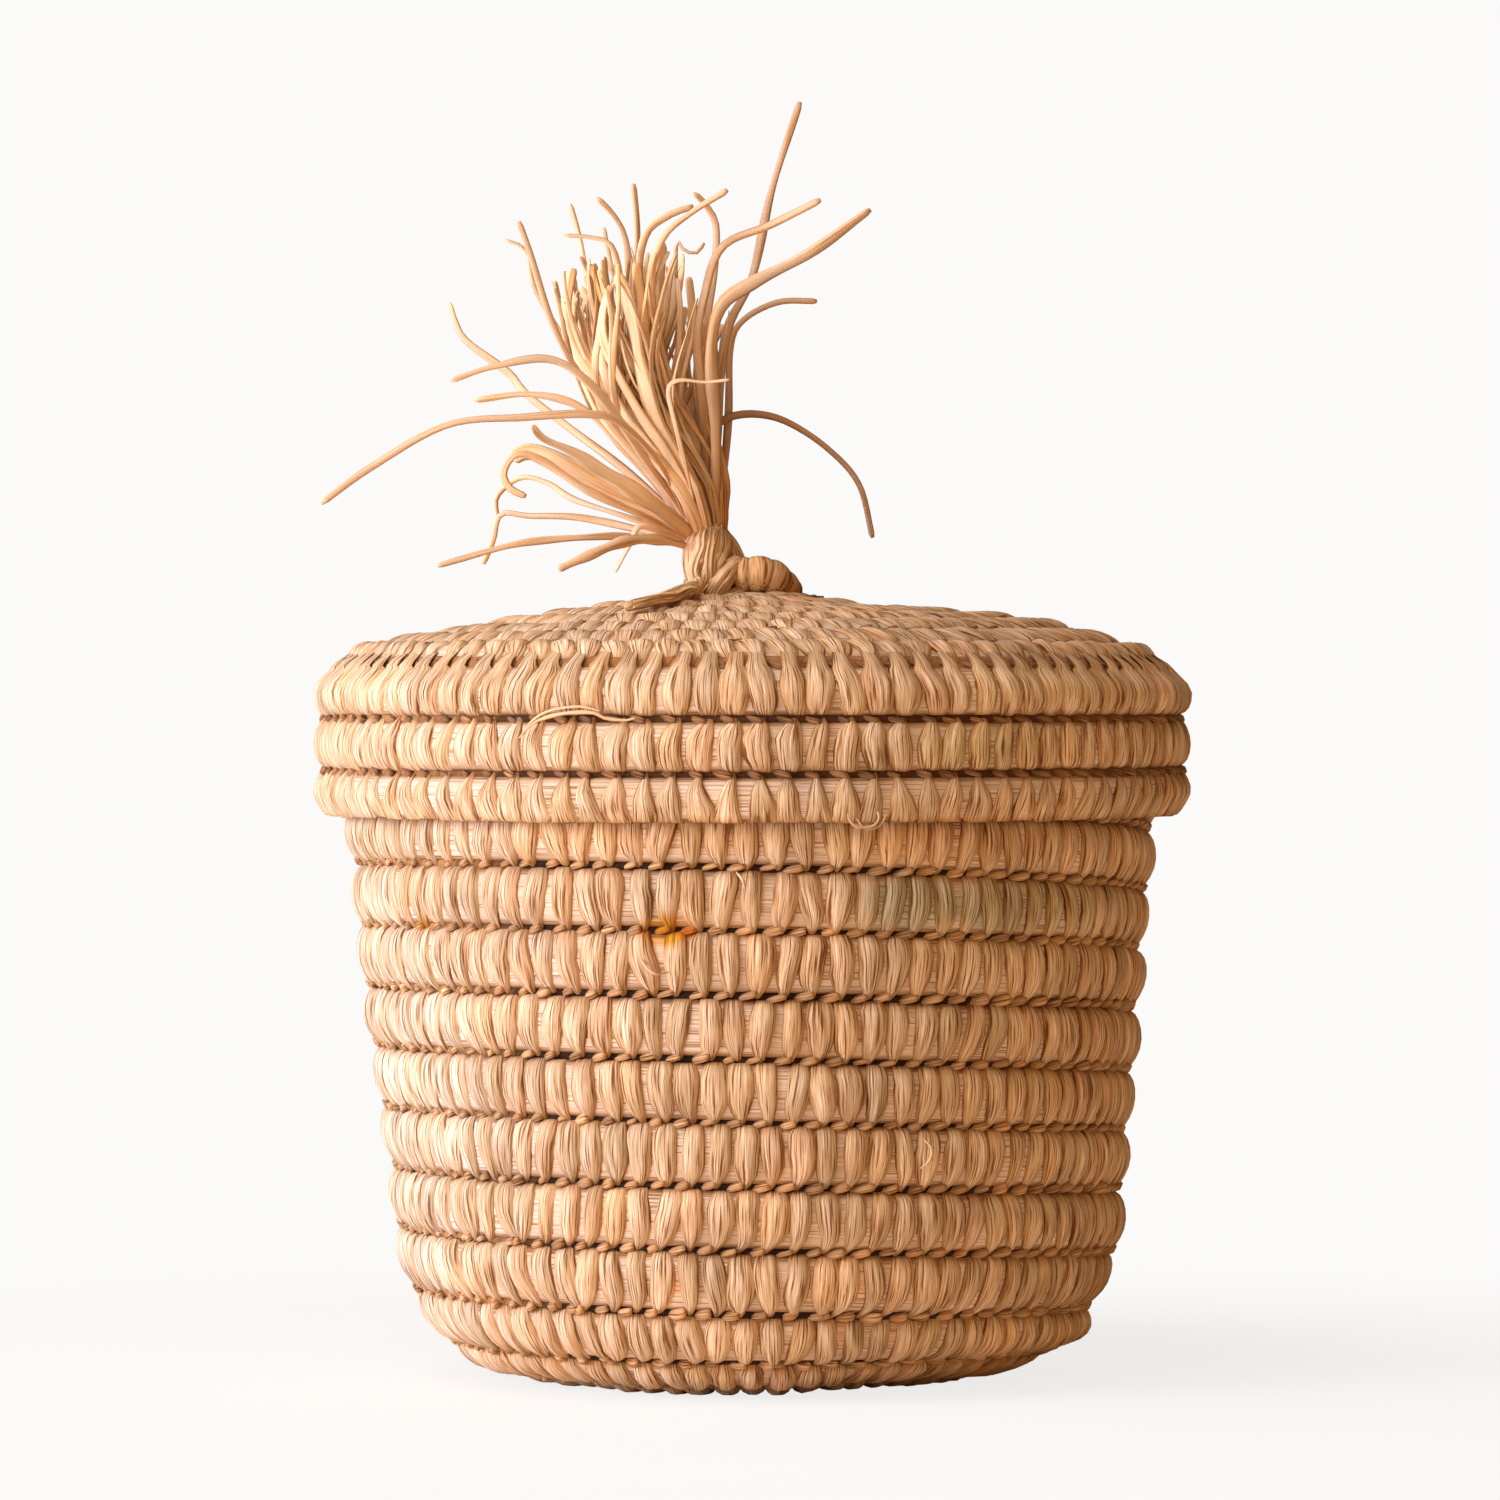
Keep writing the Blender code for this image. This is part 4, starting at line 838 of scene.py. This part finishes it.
# Guides of the single strands, root to tip: name, width, then (x, y, z), all in mm.
STRAY = (
    ("tall_upright", 2.0, ((-9.5, 2, 213), (-8.5, 4, 236), (-6.5, 4, 260), (0, 2, 274), (5, 0, 296),
     (12, -4, 317.5))),
    ("upper_right", 2.3, ((-11, -3, 213), (-12, -8, 237.5), (-13.5, -12, 256), (-12, -14, 267),
     (-7.5, -14, 280), (4.5, -14, 285.5), (17, -16, 291.5))),
    ("thick_right", 3.0, ((-9, -4, 213), (-9, -12, 235), (-10, -18, 254), (-7.5, -20, 265),
     (0.5, -22, 270.5), (14.5, -26, 277.5), (29, -30, 287.5))),
    ("side_right", 1.7, ((-8, 4, 213.5), (-6, 10, 239), (-5.5, 14, 257), (-2.5, 16, 264.5),
     (6.5, 18, 269.5), (16.5, 20, 270))),
    ("drooping_right", 1.6, ((-8.5, 2, 214.5), (-9.5, 6, 228.5), (-9.5, 8, 236), (-6, 9, 239.5),
     (1, 10, 240.5), (9, 11, 238.5), (19, 12, 232), (27, 13, 223), (30.5, 14, 209.5))),
    ("fork_top", 1.9, ((-11.5, 0, 213), (-13.5, 2, 238.5), (-11.5, 4, 261), (-9.5, 4, 276), (-9, 2, 287),
     (-11.5, 0, 292), (-14.5, -2, 295))),
    ("crossing_top", 1.8, ((-12, -4, 213), (-19, -12, 242), (-25, -18, 266.5), (-22.5, -20, 280.5),
     (-15.5, -20, 287.5), (-6, -20, 293.5))),
    ("bent_top", 2.0, ((-13, -2, 213), (-21, -8, 242.5), (-27.5, -14, 269.5), (-26.5, -16, 282.5),
     (-21, -16, 287.5), (-14.5, -16, 290))),
    ("stub_top", 2.0, ((-13.5, -2, 213), (-22, -6, 237.5), (-29, -8, 265), (-28.5, -8, 283.5),
     (-29.5, -8, 296.5))),
    ("left_top", 1.8, ((-13.5, 0, 213), (-24, -4, 238), (-29.5, -6, 267.5), (-31.5, -8, 282.5),
     (-34.5, -10, 288.5), (-38.5, -12, 292.5))),
    ("thin_left_top", 1.5, ((-14.5, 3, 213.5), (-28, 8, 239), (-39, 12, 264.5), (-43.5, 14, 285),
     (-46, 14, 294))),
    ("cross_left_top", 1.5, ((-13.5, -2, 213), (-25.5, -10, 237.5), (-31.5, -16, 266.5),
     (-34.5, -18, 279.5), (-40, -18, 282), (-46.5, -18, 282.5))),
    ("nub_top", 1.4, ((-14, 3, 213.5), (-25, 10, 239), (-33.5, 14, 269.5), (-36.5, 14, 282.5),
     (-37.5, 14, 288))),
    ("outer_left", 1.6, ((-15, -3, 212.5), (-28, -10, 235), (-41.5, -16, 247), (-49, -20, 260),
     (-54.5, -22, 277), (-57.5, -22, 285.5))),
    ("outer_left_fork", 1.5, ((-15, 2, 213), (-30.5, 8, 237.5), (-45.5, 12, 257), (-54.5, 14, 272),
     (-57, 14, 282), (-62.5, 14, 285))),
    ("rising_left", 2.0, ((-15.5, 4, 211.5), (-32, 12, 226.5), (-47.5, 18, 238.5), (-57.5, 20, 246.5),
     (-62, 22, 252), (-72.5, 24, 260), (-75.5, 24, 265), (-77, 24, 270))),
    ("upper_left", 2.3, ((-15.5, -4, 212), (-29.5, -14, 232), (-40, -20, 245.5), (-50, -22, 251.5),
     (-63.5, -24, 249.5), (-74, -24, 246))),
    ("level_left", 1.7, ((-15.5, 0, 211.5), (-30.5, -4, 229), (-42, -6, 240.5), (-55, -8, 244),
     (-69, -8, 242.5))),
    ("long_left", 1.8, ((-15, -2, 210.5), (-23, -14, 226.5), (-33, -24, 236), (-41.5, -28, 237.5),
     (-56, -30, 236.5), (-74.5, -32, 234.5), (-93, -34, 224), (-105, -36, 215))),
    ("looped_low_left", 1.9, ((-15, -4, 207.5), (-27.5, -14, 213.5), (-41, -20, 219.5), (-51, -22, 226),
     (-57.5, -24, 228), (-61, -24, 223.5), (-59.5, -24, 219.5), (-55.5, -24, 217.5))),
    ("low_left", 1.6, ((-15, -2, 206), (-28, -8, 208.5), (-41.5, -14, 208), (-56, -18, 206.5),
     (-66, -20, 204), (-77.5, -22, 200.5))),
    ("low_left_rising", 1.6, ((-15, 2, 207), (-28, 8, 211), (-43.5, 12, 214.5), (-56, 14, 215),
     (-63.5, 15, 215.5), (-65.5, 16, 209), (-68, 16, 203))),
    ("low_left_link", 1.4, ((-15, 4, 207.5), (-29.5, 14, 214), (-45, 20, 219.5), (-52, 24, 224),
     (-59, 26, 225.5), (-65, 28, 221), (-65, 28, 215.5))),
    ("low_left_short", 2.4, ((-15, -5, 206), (-24, -14, 207.5), (-32, -20, 206.5), (-40, -24, 203),
     (-47.5, -26, 199.5))),
    ("down_left_short", 1.7, ((-15, -3, 206.5), (-23, -8, 210), (-28, -10, 211), (-30.5, -12, 206),
     (-34, -12, 199.5))),
    ("wisp", 1.2, ((-14.5, -14, 217.5), (-18.5, -20, 234), (-20.5, -23, 243.5), (-18, -25, 246),
     (-11.5, -26, 245.5), (-5.5, -27, 246))),
    ("curl_top", 1.2, ((-12, 2, 218.5), (-15.5, 6, 248.5), (-19, 8, 271.5), (-19, 8, 283.5),
     (-17, 8, 281.5), (-14, 8, 281), (-12, 8, 283.5))),
    ("leaf", 5.6, ((-15, -6, 209.5), (-24, -14, 216), (-35, -20, 223), (-44.5, -24, 228.5),
     (-51, -26, 231.5), (-54, -27, 234.5))),
    ("leaf_low", 4.2, ((-15, -2, 208), (-24, -6, 215), (-35.5, -8, 220.5), (-46.5, -10, 226.5),
     (-55, -10, 229.5), (-59.5, -10, 228))),
)
# The knot's strands: name, diameter, brightness, guides in mm. The brightness is partly the strand's own
# tone
# and partly painted light and shade: the right lobe is painted darker, away from the light, and the tail
# lighter, where little light reaches it.
LOOPS = (
    ("left_lobe", 5.0, 1.0, ((-11.5, 0, 209.75), (-13.5, -4, 208), (-14.75, -6, 205.25), (-15, -7, 202.25),
     (-14.5, -7, 199.25), (-13.25, -6, 196.5), (-11.5, -5, 194.75))),
    ("eye_strand", 4.2, 1.08, ((-10.75, -4, 210.5), (-12, -8, 207.75), (-12.25, -9.5, 205),
     (-13.25, -10, 202.5), (-14, -10.5, 199.75), (-13, -10, 197.5), (-11.25, -8, 195.25))),
    ("middle_strand", 4.6, 0.92, ((-9.25, -4, 210.75), (-9.5, -8, 207.25), (-10.25, -10, 203.75),
     (-10.5, -10.5, 200.75), (-10.5, -9.5, 197.75), (-11, -8, 194.75))),
    ("right_face", 6.0, 0.90, ((-8.75, -1, 209.75), (-7.75, -6, 206.5), (-8.5, -8, 203.75),
     (-9.75, -9.5, 201.25), (-10.75, -9.5, 198.5), (-11.75, -8.5, 195.75))),
    # Painted shade: darker on the right, away from the light.
    ("right_lobe", 6.0, 0.68, ((-10.5, 2, 209.75), (-8.25, -1, 207.75), (-6, -3, 205), (-4.5, -4, 201.75),
     (-4.25, -5, 198.5), (-5.75, -6, 195.75))),
    ("low_diagonal", 5.0, 0.86, ((-3, -6, 202.5), (-5.25, -9, 200.75), (-7.25, -10.5, 198.25),
     (-9.25, -11, 195.5), (-11, -11.5, 192.5))),
    ("back_lobe", 6.5, 0.66, ((-13.75, 3, 200.25), (-13, 5, 205.5), (-11.5, 6, 208.25), (-8.75, 6, 208.75),
     (-6.5, 6, 206), (-5.25, 6, 201.5), (-5.5, 6, 196.5))),
    ("back_wrap", 5.4, 0.7, ((-14, -1, 196.5), (-14.5, 4, 197), (-11.5, 7.5, 198), (-7.5, 8, 198.5),
     (-4.5, 5.5, 199), (-4, 1, 199.5))),
    ("back_turn", 5.4, 0.74, ((-14, 0, 202.5), (-13.8, 4.5, 203.5), (-10.5, 7.5, 204), (-6.8, 6.8, 203.5),
     (-5.2, 3, 202.5))),
    ("back_cross", 5.0, 0.8, ((-13.5, 2.5, 208.5), (-12.5, 6.5, 205), (-10, 9.5, 201.5), (-7.5, 9.8, 198.5),
     (-5.5, 8.5, 195.5))),
    ("back_top", 4.6, 0.8, ((-13.8, 1, 207.5), (-12.8, 4.5, 209), (-10.5, 5.5, 210), (-8.2, 4.5, 209.8),
     (-7.2, 1.5, 208.8))),
    ("low_wrap", 4.6, 0.84, ((-15.75, 2, 196.25), (-13.75, -5, 194.5), (-10, -9.5, 193.25),
     (-5.5, -9.5, 193.25), (-1.75, -6, 195.25))),
    # Painted light: lighter, where little light reaches it.
    ("tail", 4.2, 1.2, ((-11, -6, 198), (-14, -14, 196), (-15.3, -22, 194.9), (-18.9, -32, 193),
     (-23, -42, 191.2), (-27.3, -49, 189.8), (-30.6, -54, 188.7))),
)
KNOT_MIDDLE = (-9.5 * MM, 0.5 * MM, 201 * MM)

# The bunch: height, its left and right edge seen from the front, and its half depth, in mm.
BUNCH = np.array([
    (207, -14.5, -7.0, 3.5), (212, -17.0, -6.4, 6.0), (221, -22.7, -6.2, 9.0), (231, -32.0, -8.4, 12.5),
    (236, -37.0, -9.1, 14.0), (241, -40.5, -8.7, 15.5), (246, -43.0, -8.4, 17.0), (253, -46.0, -6.4, 18.5),
    (258, -47.5, -4.7, 19.5), (266, -48.7, -3.5, 20.0), (273, -49.4, -4.2, 20.0), (282, -48.5, -5.4, 20.0),
])
BUNCH_TOP = ((0, 0.12, 0.35, 0.5, 0.58, 0.68, 0.85, 1.0), (268, 277, 278, 280, 283, 270, 264, 260))
# How bright the duller or paler single strands are.
DULL = {"tall_upright": 0.66, "upper_right": 0.72, "thick_right": 0.80, "side_right": 0.70,
        "drooping_right": 0.56, "fork_top": 0.76, "crossing_top": 0.80, "outer_left": 0.74,
        "long_left": 0.78, "leaf": 1.08, "leaf_low": 1.05}
LOOSE_TONES = np.array([(1.05, 1.06, 1.06), (1.0, 1.0, 0.98), (1.0, 0.93, 0.80), (0.95, 0.82, 0.64),
                        (1.0, 0.98, 0.92)])
LOOSE_ODDS = (0.30, 0.28, 0.22, 0.12, 0.08)
# How many strips of the bunch are spread over its left, over its right and at random inside it.
LEFT_STRIPS = 74
RIGHT_STRIPS = 20
INNER_STRIPS = 72
BUNCH_FOOT = 207


def make_bunch(rng):
    """The bunch of strips, close together on the left and loose on the right. Sizes are in mm until the
    end."""
    outer = LEFT_STRIPS + RIGHT_STRIPS
    count = outer + INNER_STRIPS
    deep = rng.uniform(-1, 1, count)
    across = np.concatenate([np.linspace(0.02, 0.62, LEFT_STRIPS), np.linspace(0.64, 0.98, RIGHT_STRIPS),
                             0.66 * rng.uniform(0, 1, INNER_STRIPS) ** 0.9])
    loose = smooth(across, 0.5, 0.7)
    short = np.abs(rng.normal(0, 1, count)) * np.where(np.arange(count) < outer, 4, 16)
    top = np.interp(across, *BUNCH_TOP) - short
    share = shares(22)[None, :]
    height = BUNCH_FOOT + (top[:, None] - BUNCH_FOOT) * share
    left, right, half = (np.interp(height, BUNCH[:, 0], BUNCH[:, k]) for k in (1, 2, 3))
    start = np.clip(0.5 + (across - 0.5) * 0.8 + rng.normal(0, 0.30, count), 0.02, 0.98)
    way = start[:, None] + (across - start)[:, None] * smooth(share, 0.05, 0.9)
    x = left + (right - left) * way
    room = np.sqrt(np.clip(1 - (2 * way - 1) ** 2, 0.12, 1))
    y = -1 + 1.15 * half * deep[:, None] * room
    bend = rng.normal(0, 1, (5, count, 1))
    amount = (2.2 + 1.0 * loose)[:, None]
    x = x + (amount * bend[0] * np.sin(share * 6 + bend[1] * 2) + 3.2 * bend[2] * share ** 4) * share
    y = y + amount * bend[3] * share * np.sin(share * 4 + bend[1])
    height = height + 1.5 * bend[4] * share ** 3
    paths = np.stack([x, y, height], axis=-1) * MM
    widths = (1.1 + 2.8 * rng.random(count) ** 1.8 * (1 - 0.5 * loose)) * MM
    turning = (rng.normal(0, 0.6, count), rng.normal(0, 1.1, count))
    tones = LOOSE_TONES[rng.choice(len(LOOSE_ODDS), count, p=LOOSE_ODDS)]
    tones = tones * np.exp(rng.normal(0, 0.06, (count, 1)))
    # Painted light: strips towards the back of the bunch, in its shade, are made up to 14 percent lighter.
    tones = tones * (1.14 - 0.14 * smooth(-deep, -0.6, 0.6))[:, None] * np.array((0.98, 1.0, 1.02))
    # Painted shade: strips towards the right of the bunch, away from the light, are made darker and browner.
    tones = tones * (1 - smooth(across, 0.3, 1.0)[:, None] * np.array((0.10, 0.16, 0.24)))
    bunch = make_strips("tassel_bunch", paths, widths, 0.22, turning, tones, ON_TASSEL, 78, LOOSE, tip=0.85)
    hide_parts("tassel_tuft")


def make_tassel():
    """The bunch and the single strands round it."""
    rng = np.random.default_rng(77)
    make_bunch(rng)
    paths = np.stack([through(guides, 40) for _, _, guides in STRAY])
    count = len(STRAY)
    widths = np.array([width for _, width, _ in STRAY]) * 1.12 * MM
    turning = (rng.normal(0, 0.25, count), rng.normal(0, 0.5, count))
    shade = np.array([DULL.get(name, 0.88) for name, _, _ in STRAY])[:, None]
    tones = shade ** np.array((1.0, 1.25, 1.3)) * np.exp(rng.normal(0, 0.05, (count, 1)))
    flatness = np.where(widths > 4 * MM, 0.12, 0.45)[:, None, None]
    stray = make_strips("tassel_strands", paths, widths, flatness, turning, tones, ON_TASSEL, 79, LOOSE,
                        tip=0.75)
    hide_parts(*(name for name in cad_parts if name.startswith("strand_")))


def make_knot():
    """Twisted loops of the knot, with thin strips on their outer sides, round a core."""
    rng = np.random.default_rng(55)
    strips, shades = [], []
    share = np.linspace(0, 1, 60)
    for number, (name, thick, shade, guides) in enumerate(LOOPS):
        path = through(guides, len(share))
        radius = 0.5 * thick * MM * (1 + 0.14 * ripple(share * 3, number + 60, waves=5))
        if name == "tail":
            radius = radius * np.interp(share, (0, 0.5, 1), (1, 0.9, 0.55))
        tone = shade ** np.array((1.0, 1.3, 1.6))
        make_tube("knot_" + name, path, radius, KNOT_MIDDLE, tone, number, lobes=6, twist=60, depth=0.16,
                  around=30)
        side, out = sides_of(path, KNOT_MIDDLE)
        for place in rng.uniform(0.3, 2.8, 4):
            angle = (place + rng.normal(0.4, 0.3) * share)[:, None]
            far = 0.44 * thick * MM * rng.uniform(0.95, 1.1)
            strips.append((path + far * (side * np.cos(angle) + out * np.sin(angle)))[::2])
            shades.append(tone * np.exp(rng.normal(0.02, 0.06)))
    count = len(strips)
    widths = rng.uniform(0.9, 1.9, count) * MM
    turning = (rng.uniform(0, 3, count), rng.normal(0, 1, count))
    make_strips("knot_strips", np.stack(strips), widths, 0.4, turning, np.array(shades), ON_KNOT, 56, TWIST,
                tip=0.7, browning=0)
    core = ((-9.5, 0.5, 190), (-9.3, 0.5, 197), (-9.5, 0.5, 203), (-10.5, 0.5, 209), (-11, 0.5, 213))
    path = through(core, 40)
    full = np.interp(np.linspace(0, 1, 40), (0, 0.25, 0.5, 0.75, 1), (8.6, 6.2, 5.8, 5.0, 3.6)) * MM
    tone = (0.66, 0.54, 0.42)
    heart = make_tube("knot_core", path, full, (0, 1, 0), tone, 91, lobes=9, twist=70, depth=0.12)
    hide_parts("knot_wrap", "tassel_stem")


def make_collar():
    """The wrapped collar beside the knot, with its tail down on the cone."""
    angle = np.radians(np.linspace(-128, 190, 320))
    down = smooth(angle, math.radians(100), math.radians(186))
    radius = (7.6 + 2.0 * smooth(angle, -1.4, 0.1) + 16 * down) * MM
    thick = 4.7 * MM * (1 - 0.55 * down) * (1 - 0.34 * smooth(angle, -1.1, 0.1))
    on_cone = 194.6 * MM - (radius - 7 * MM) * math.tan(LID_SLOPE)
    height = on_cone + thick * 0.5 + 2.3 * MM * smooth(angle, -0.1, -1.3)
    path = np.stack([radius * np.cos(angle), radius * np.sin(angle), height], axis=-1)
    # Painted light and shade: the collar is darker on its right, away from the light, and lighter again
    # round the back towards the left.
    shade = 1 - 0.55 * smooth(angle, -0.9, 0.1) + 0.35 * smooth(angle, 0.8, 1.8)
    tone = shade[:, None] ** np.array((1.0, 1.35, 1.7)) * np.array((0.80, 0.70, 0.56))
    collar = make_tube("knot_collar", path, thick, (0, 0, 0.185), tone, 9, wrap=4.4 * MM)
    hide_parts("collar_coil")


# Loose fibres: width, brightness, guides in mm.
LID_FIBRES = (
    (1.0, 0.98, ((-54.25, -96, 156.5), (-52.5, -97, 158.5), (-49.5, -98.7, 160.7), (-43.5, -101.6, 162.2),
     (-37, -104.3, 162.3), (-34, -105.3, 161), (-29.2, -106.5, 160.5), (-27, -107, 161))),
    (0.8, 0.98, ((-53, -96.2, 157.5), (-51.5, -97.2, 160.2), (-47.2, -99.2, 162.8), (-40.2, -102.2, 163.8),
     (-35.2, -104.3, 162.7))),
    (0.8, 0.90, ((22, -107.6, 139), (22.7, -108.6, 137), (24.5, -108.6, 135.8), (27.7, -107.8, 136),
     (29.2, -107.2, 137.7), (29, -106.6, 139.4))),
    (0.7, 0.85, ((24, -107.7, 137.8), (26.2, -108, 135.4), (29.5, -107, 136.3), (31, -106, 138.9))),
    (0.9, 1.1, ((54, -80.5, 176), (54.5, -81, 177.6), (55.7, -80.5, 178.6), (56.7, -80, 177.6),
     (56.2, -79.5, 176))),
)
VESSEL_FIBRES = (
    (0.9, 1.0, ((40.2, -85.3, 63), (42, -87.6, 60.7), (41.5, -88.0, 58), (39.5, -85.4, 56))),
    (0.8, 1.1, ((-3.7, -99.8, 125.5), (-2.2, -102.2, 123.7), (-1.7, -100.2, 121.7))),
    (0.8, 0.95, ((-26, -94.7, 105.5), (-24.5, -97.2, 103.2), (-22.2, -97.8, 101.7), (-19.5, -95.8, 102.2))),
)


def make_fibres(name, rows, target, seed):
    """Single fibres that have worked loose from the stitches."""
    rng = np.random.default_rng(seed)
    count = len(rows)
    paths = np.stack([through(guides, 24) for _, _, guides in rows])
    widths = np.array([width for width, _, _ in rows]) * 0.9 * MM
    tones = (0.8 * np.array([shade for _, shade, _ in rows]))[:, None] ** np.array((1.0, 1.2, 1.4))
    turning = (rng.normal(0, 0.3, count), rng.normal(0, 0.6, count))
    make_strips(name, paths, widths, 0.5, turning, tones, target, seed, LOOSE, tip=0.7, browning=0)


def rim_share(turns):
    """1 for the lid's last row, 0 for the rows before."""
    return smooth(turns, lid.last - 0.98, lid.last - 0.94)


def lid_kinds(turns):
    """The lid's stitches narrow outwards on the cone, are wide over the shoulder, pointed below it and
    fanned along the rim."""
    rim = rim_share(turns)
    wall = smooth(turns, lid.last - 2.98, lid.last - 2.94)
    pointed = smooth(turns, lid.last - 1.98, lid.last - 1.94) * (1 - rim)
    return np.stack([0 * turns, pointed, rim, wall - pointed - rim, 1 - wall], axis=1)


def lid_skew(turns):
    """Below the first row of the wall the bellies hang to the left of their necks, less so along the rim.
    """
    return -0.75 * smooth(turns, lid.last - 2.1, lid.last - 1.9) * (1 - 0.8 * rim_share(turns))


vessel = wind_vessel()
lid = wind_lid()
dress_coil("vessel", vessel, ON_VESSEL, 101, most=91.8, pitch=6.2 * MM, shift=0.9 * MM, lean=1.6 * MM,
           kinds_of=lambda turns: np.eye(5)[np.zeros(len(turns), int)], skew_of=lambda turns: 0 * turns,
           aside=1, reach=0.70, tone=(0.88, 0.70, 0.51))
dress_coil("lid", lid, ON_LID, 202, most=100.1, pitch=6.6 * MM, shift=0.3 * MM, lean=0,
           kinds_of=lid_kinds, skew_of=lid_skew, aside=-1, reach=0.62, tone=(0.48, 0.33, 0.21))
# The groove strands' near-black tones are painted shade, deep in the grooves.
make_groove_strand("vessel_groove_strand", vessel, -1.15 * MM, 3.6 * MM, (0.035, 0.014, 0.004), ON_VESSEL)
make_groove_strand("lid_groove_strand", lid, -1.1 * MM, 2.6 * MM, (0.10, 0.05, 0.018), ON_LID)
make_knot()
make_collar()
make_tassel()
make_fibres("lid_loose_fibres", LID_FIBRES, ON_TASSEL, 31)
make_fibres("vessel_loose_fibres", VESSEL_FIBRES, ON_VESSEL, 32)


# Stage, light and camera.

BACKDROP = (0.964, 0.955, 0.939, 1)


def make_floor():
    """A wide pale floor. The camera sees it as the background, with the basket's soft shadow near the
    basket."""
    side = 6.0
    mesh = bpy.data.meshes.new("floor")
    corners = [(-side, -side, 0), (side, -side, 0), (side, side, 0), (-side, side, 0)]
    mesh.from_pydata(corners, [], [(0, 1, 2, 3)])
    made = bpy.data.materials.new("pale_floor")
    made.cycles.emission_sampling = "NONE"
    made.use_nodes = True
    tree = made.node_tree
    tree.nodes.clear()
    bounce = add_node(tree, "BsdfDiffuse", {"Color": (1.0, 0.83, 0.62, 1)})
    near = add_node(tree, "BsdfDiffuse", {"Color": (0.15, 0.147, 0.145, 1)})
    glow = add_node(tree, "Emission", {"Color": BACKDROP, "Strength": 0.85})
    shadowed = add_node(tree, "AddShader", {0: glow, 1: near})
    plain = add_node(tree, "Emission", {"Color": BACKDROP})
    place = add_node(tree, "TexCoord").outputs["Object"]
    far = add_node(tree, "VectorMath", {0: place}, operation="LENGTH")
    fade = add_node(tree, "MapRange", {"Value": far, "From Min": 0.13, "From Max": 0.42},
                    interpolation_type="SMOOTHSTEP")
    seen = add_node(tree, "MixShader", {0: fade, 1: shadowed, 2: plain})
    by_camera = add_node(tree, "LightPath").outputs["Is Camera Ray"]
    both = add_node(tree, "MixShader", {0: by_camera, 1: bounce, 2: seen})
    add_node(tree, "OutputMaterial", {"Surface": both})
    mesh.materials.append(made)
    add_object("floor", mesh)


def make_world():
    """Soft even light from all round, warm and dim, while the camera sees the pale background."""
    world = bpy.data.worlds.new("studio")
    bpy.context.scene.world = world
    world.use_nodes = True
    tree = world.node_tree
    tree.nodes.clear()
    fill = add_node(tree, "Background", {"Color": (1.0, 0.57, 0.23, 1), "Strength": 0.16})
    seen = add_node(tree, "Background", {"Color": BACKDROP})
    by_camera = add_node(tree, "LightPath").outputs["Is Camera Ray"]
    both = add_node(tree, "MixShader", {0: by_camera, 1: fill, 2: seen})
    add_node(tree, "OutputWorld", {"Surface": both})


def make_lamp(name, where, target, size, power, colour):
    lamp = bpy.data.lights.new(name, "AREA")
    lamp.shape = "RECTANGLE"
    lamp.size, lamp.size_y = size
    lamp.energy = power
    lamp.color = colour
    holder = add_object(name, lamp)
    holder.location = where
    holder.rotation_euler = (Vector(target) - Vector(where)).to_track_quat("-Z", "Y").to_euler()


def make_camera():
    """A long lens from the front, 1.38 m away and a little below the middle, so it looks slightly up."""
    lens = bpy.data.cameras.new("camera")
    lens.lens = 132.5
    lens.sensor_width = 36
    lens.clip_start, lens.clip_end = 0.05, 30
    camera = add_object("camera", lens)
    camera.location = (-0.0005, -1.38, 0.1301)
    camera.rotation_euler = (math.radians(90) + math.atan(25.5 / 1380), 0, 0)
    bpy.context.scene.camera = camera


make_floor()
make_world()
# Each lamp's place, the point that it lights, its size in metres, its power in watts and its colour.
make_lamp("key", (-1.66, -0.92, 0.42), (0, 0, 0.10), (1.0, 1.1), 53, (0.87, 0.90, 1.0))
make_lamp("bounce", (1.3, -1.4, 0.35), (0, 0, 0.12), (1.0, 0.7), 4.1, (1.0, 0.55, 0.17))
make_lamp("front", (-0.6, -1.9, 0.6), (0, 0, 0.12), (1.2, 0.8), 6.3, (1.0, 0.72, 0.41))
make_lamp("top", (-0.5, -0.6, 1.7), (0, 0, 0.15), (0.9, 0.9), 16, (1.0, 0.90, 0.80))
make_lamp("side", (-1.75, 0.15, 0.16), (0, 0, 0.05), (0.8, 0.9), 20, (0.60, 0.69, 1.0))
make_camera()
bpy.context.scene.view_settings.view_transform = "Standard"
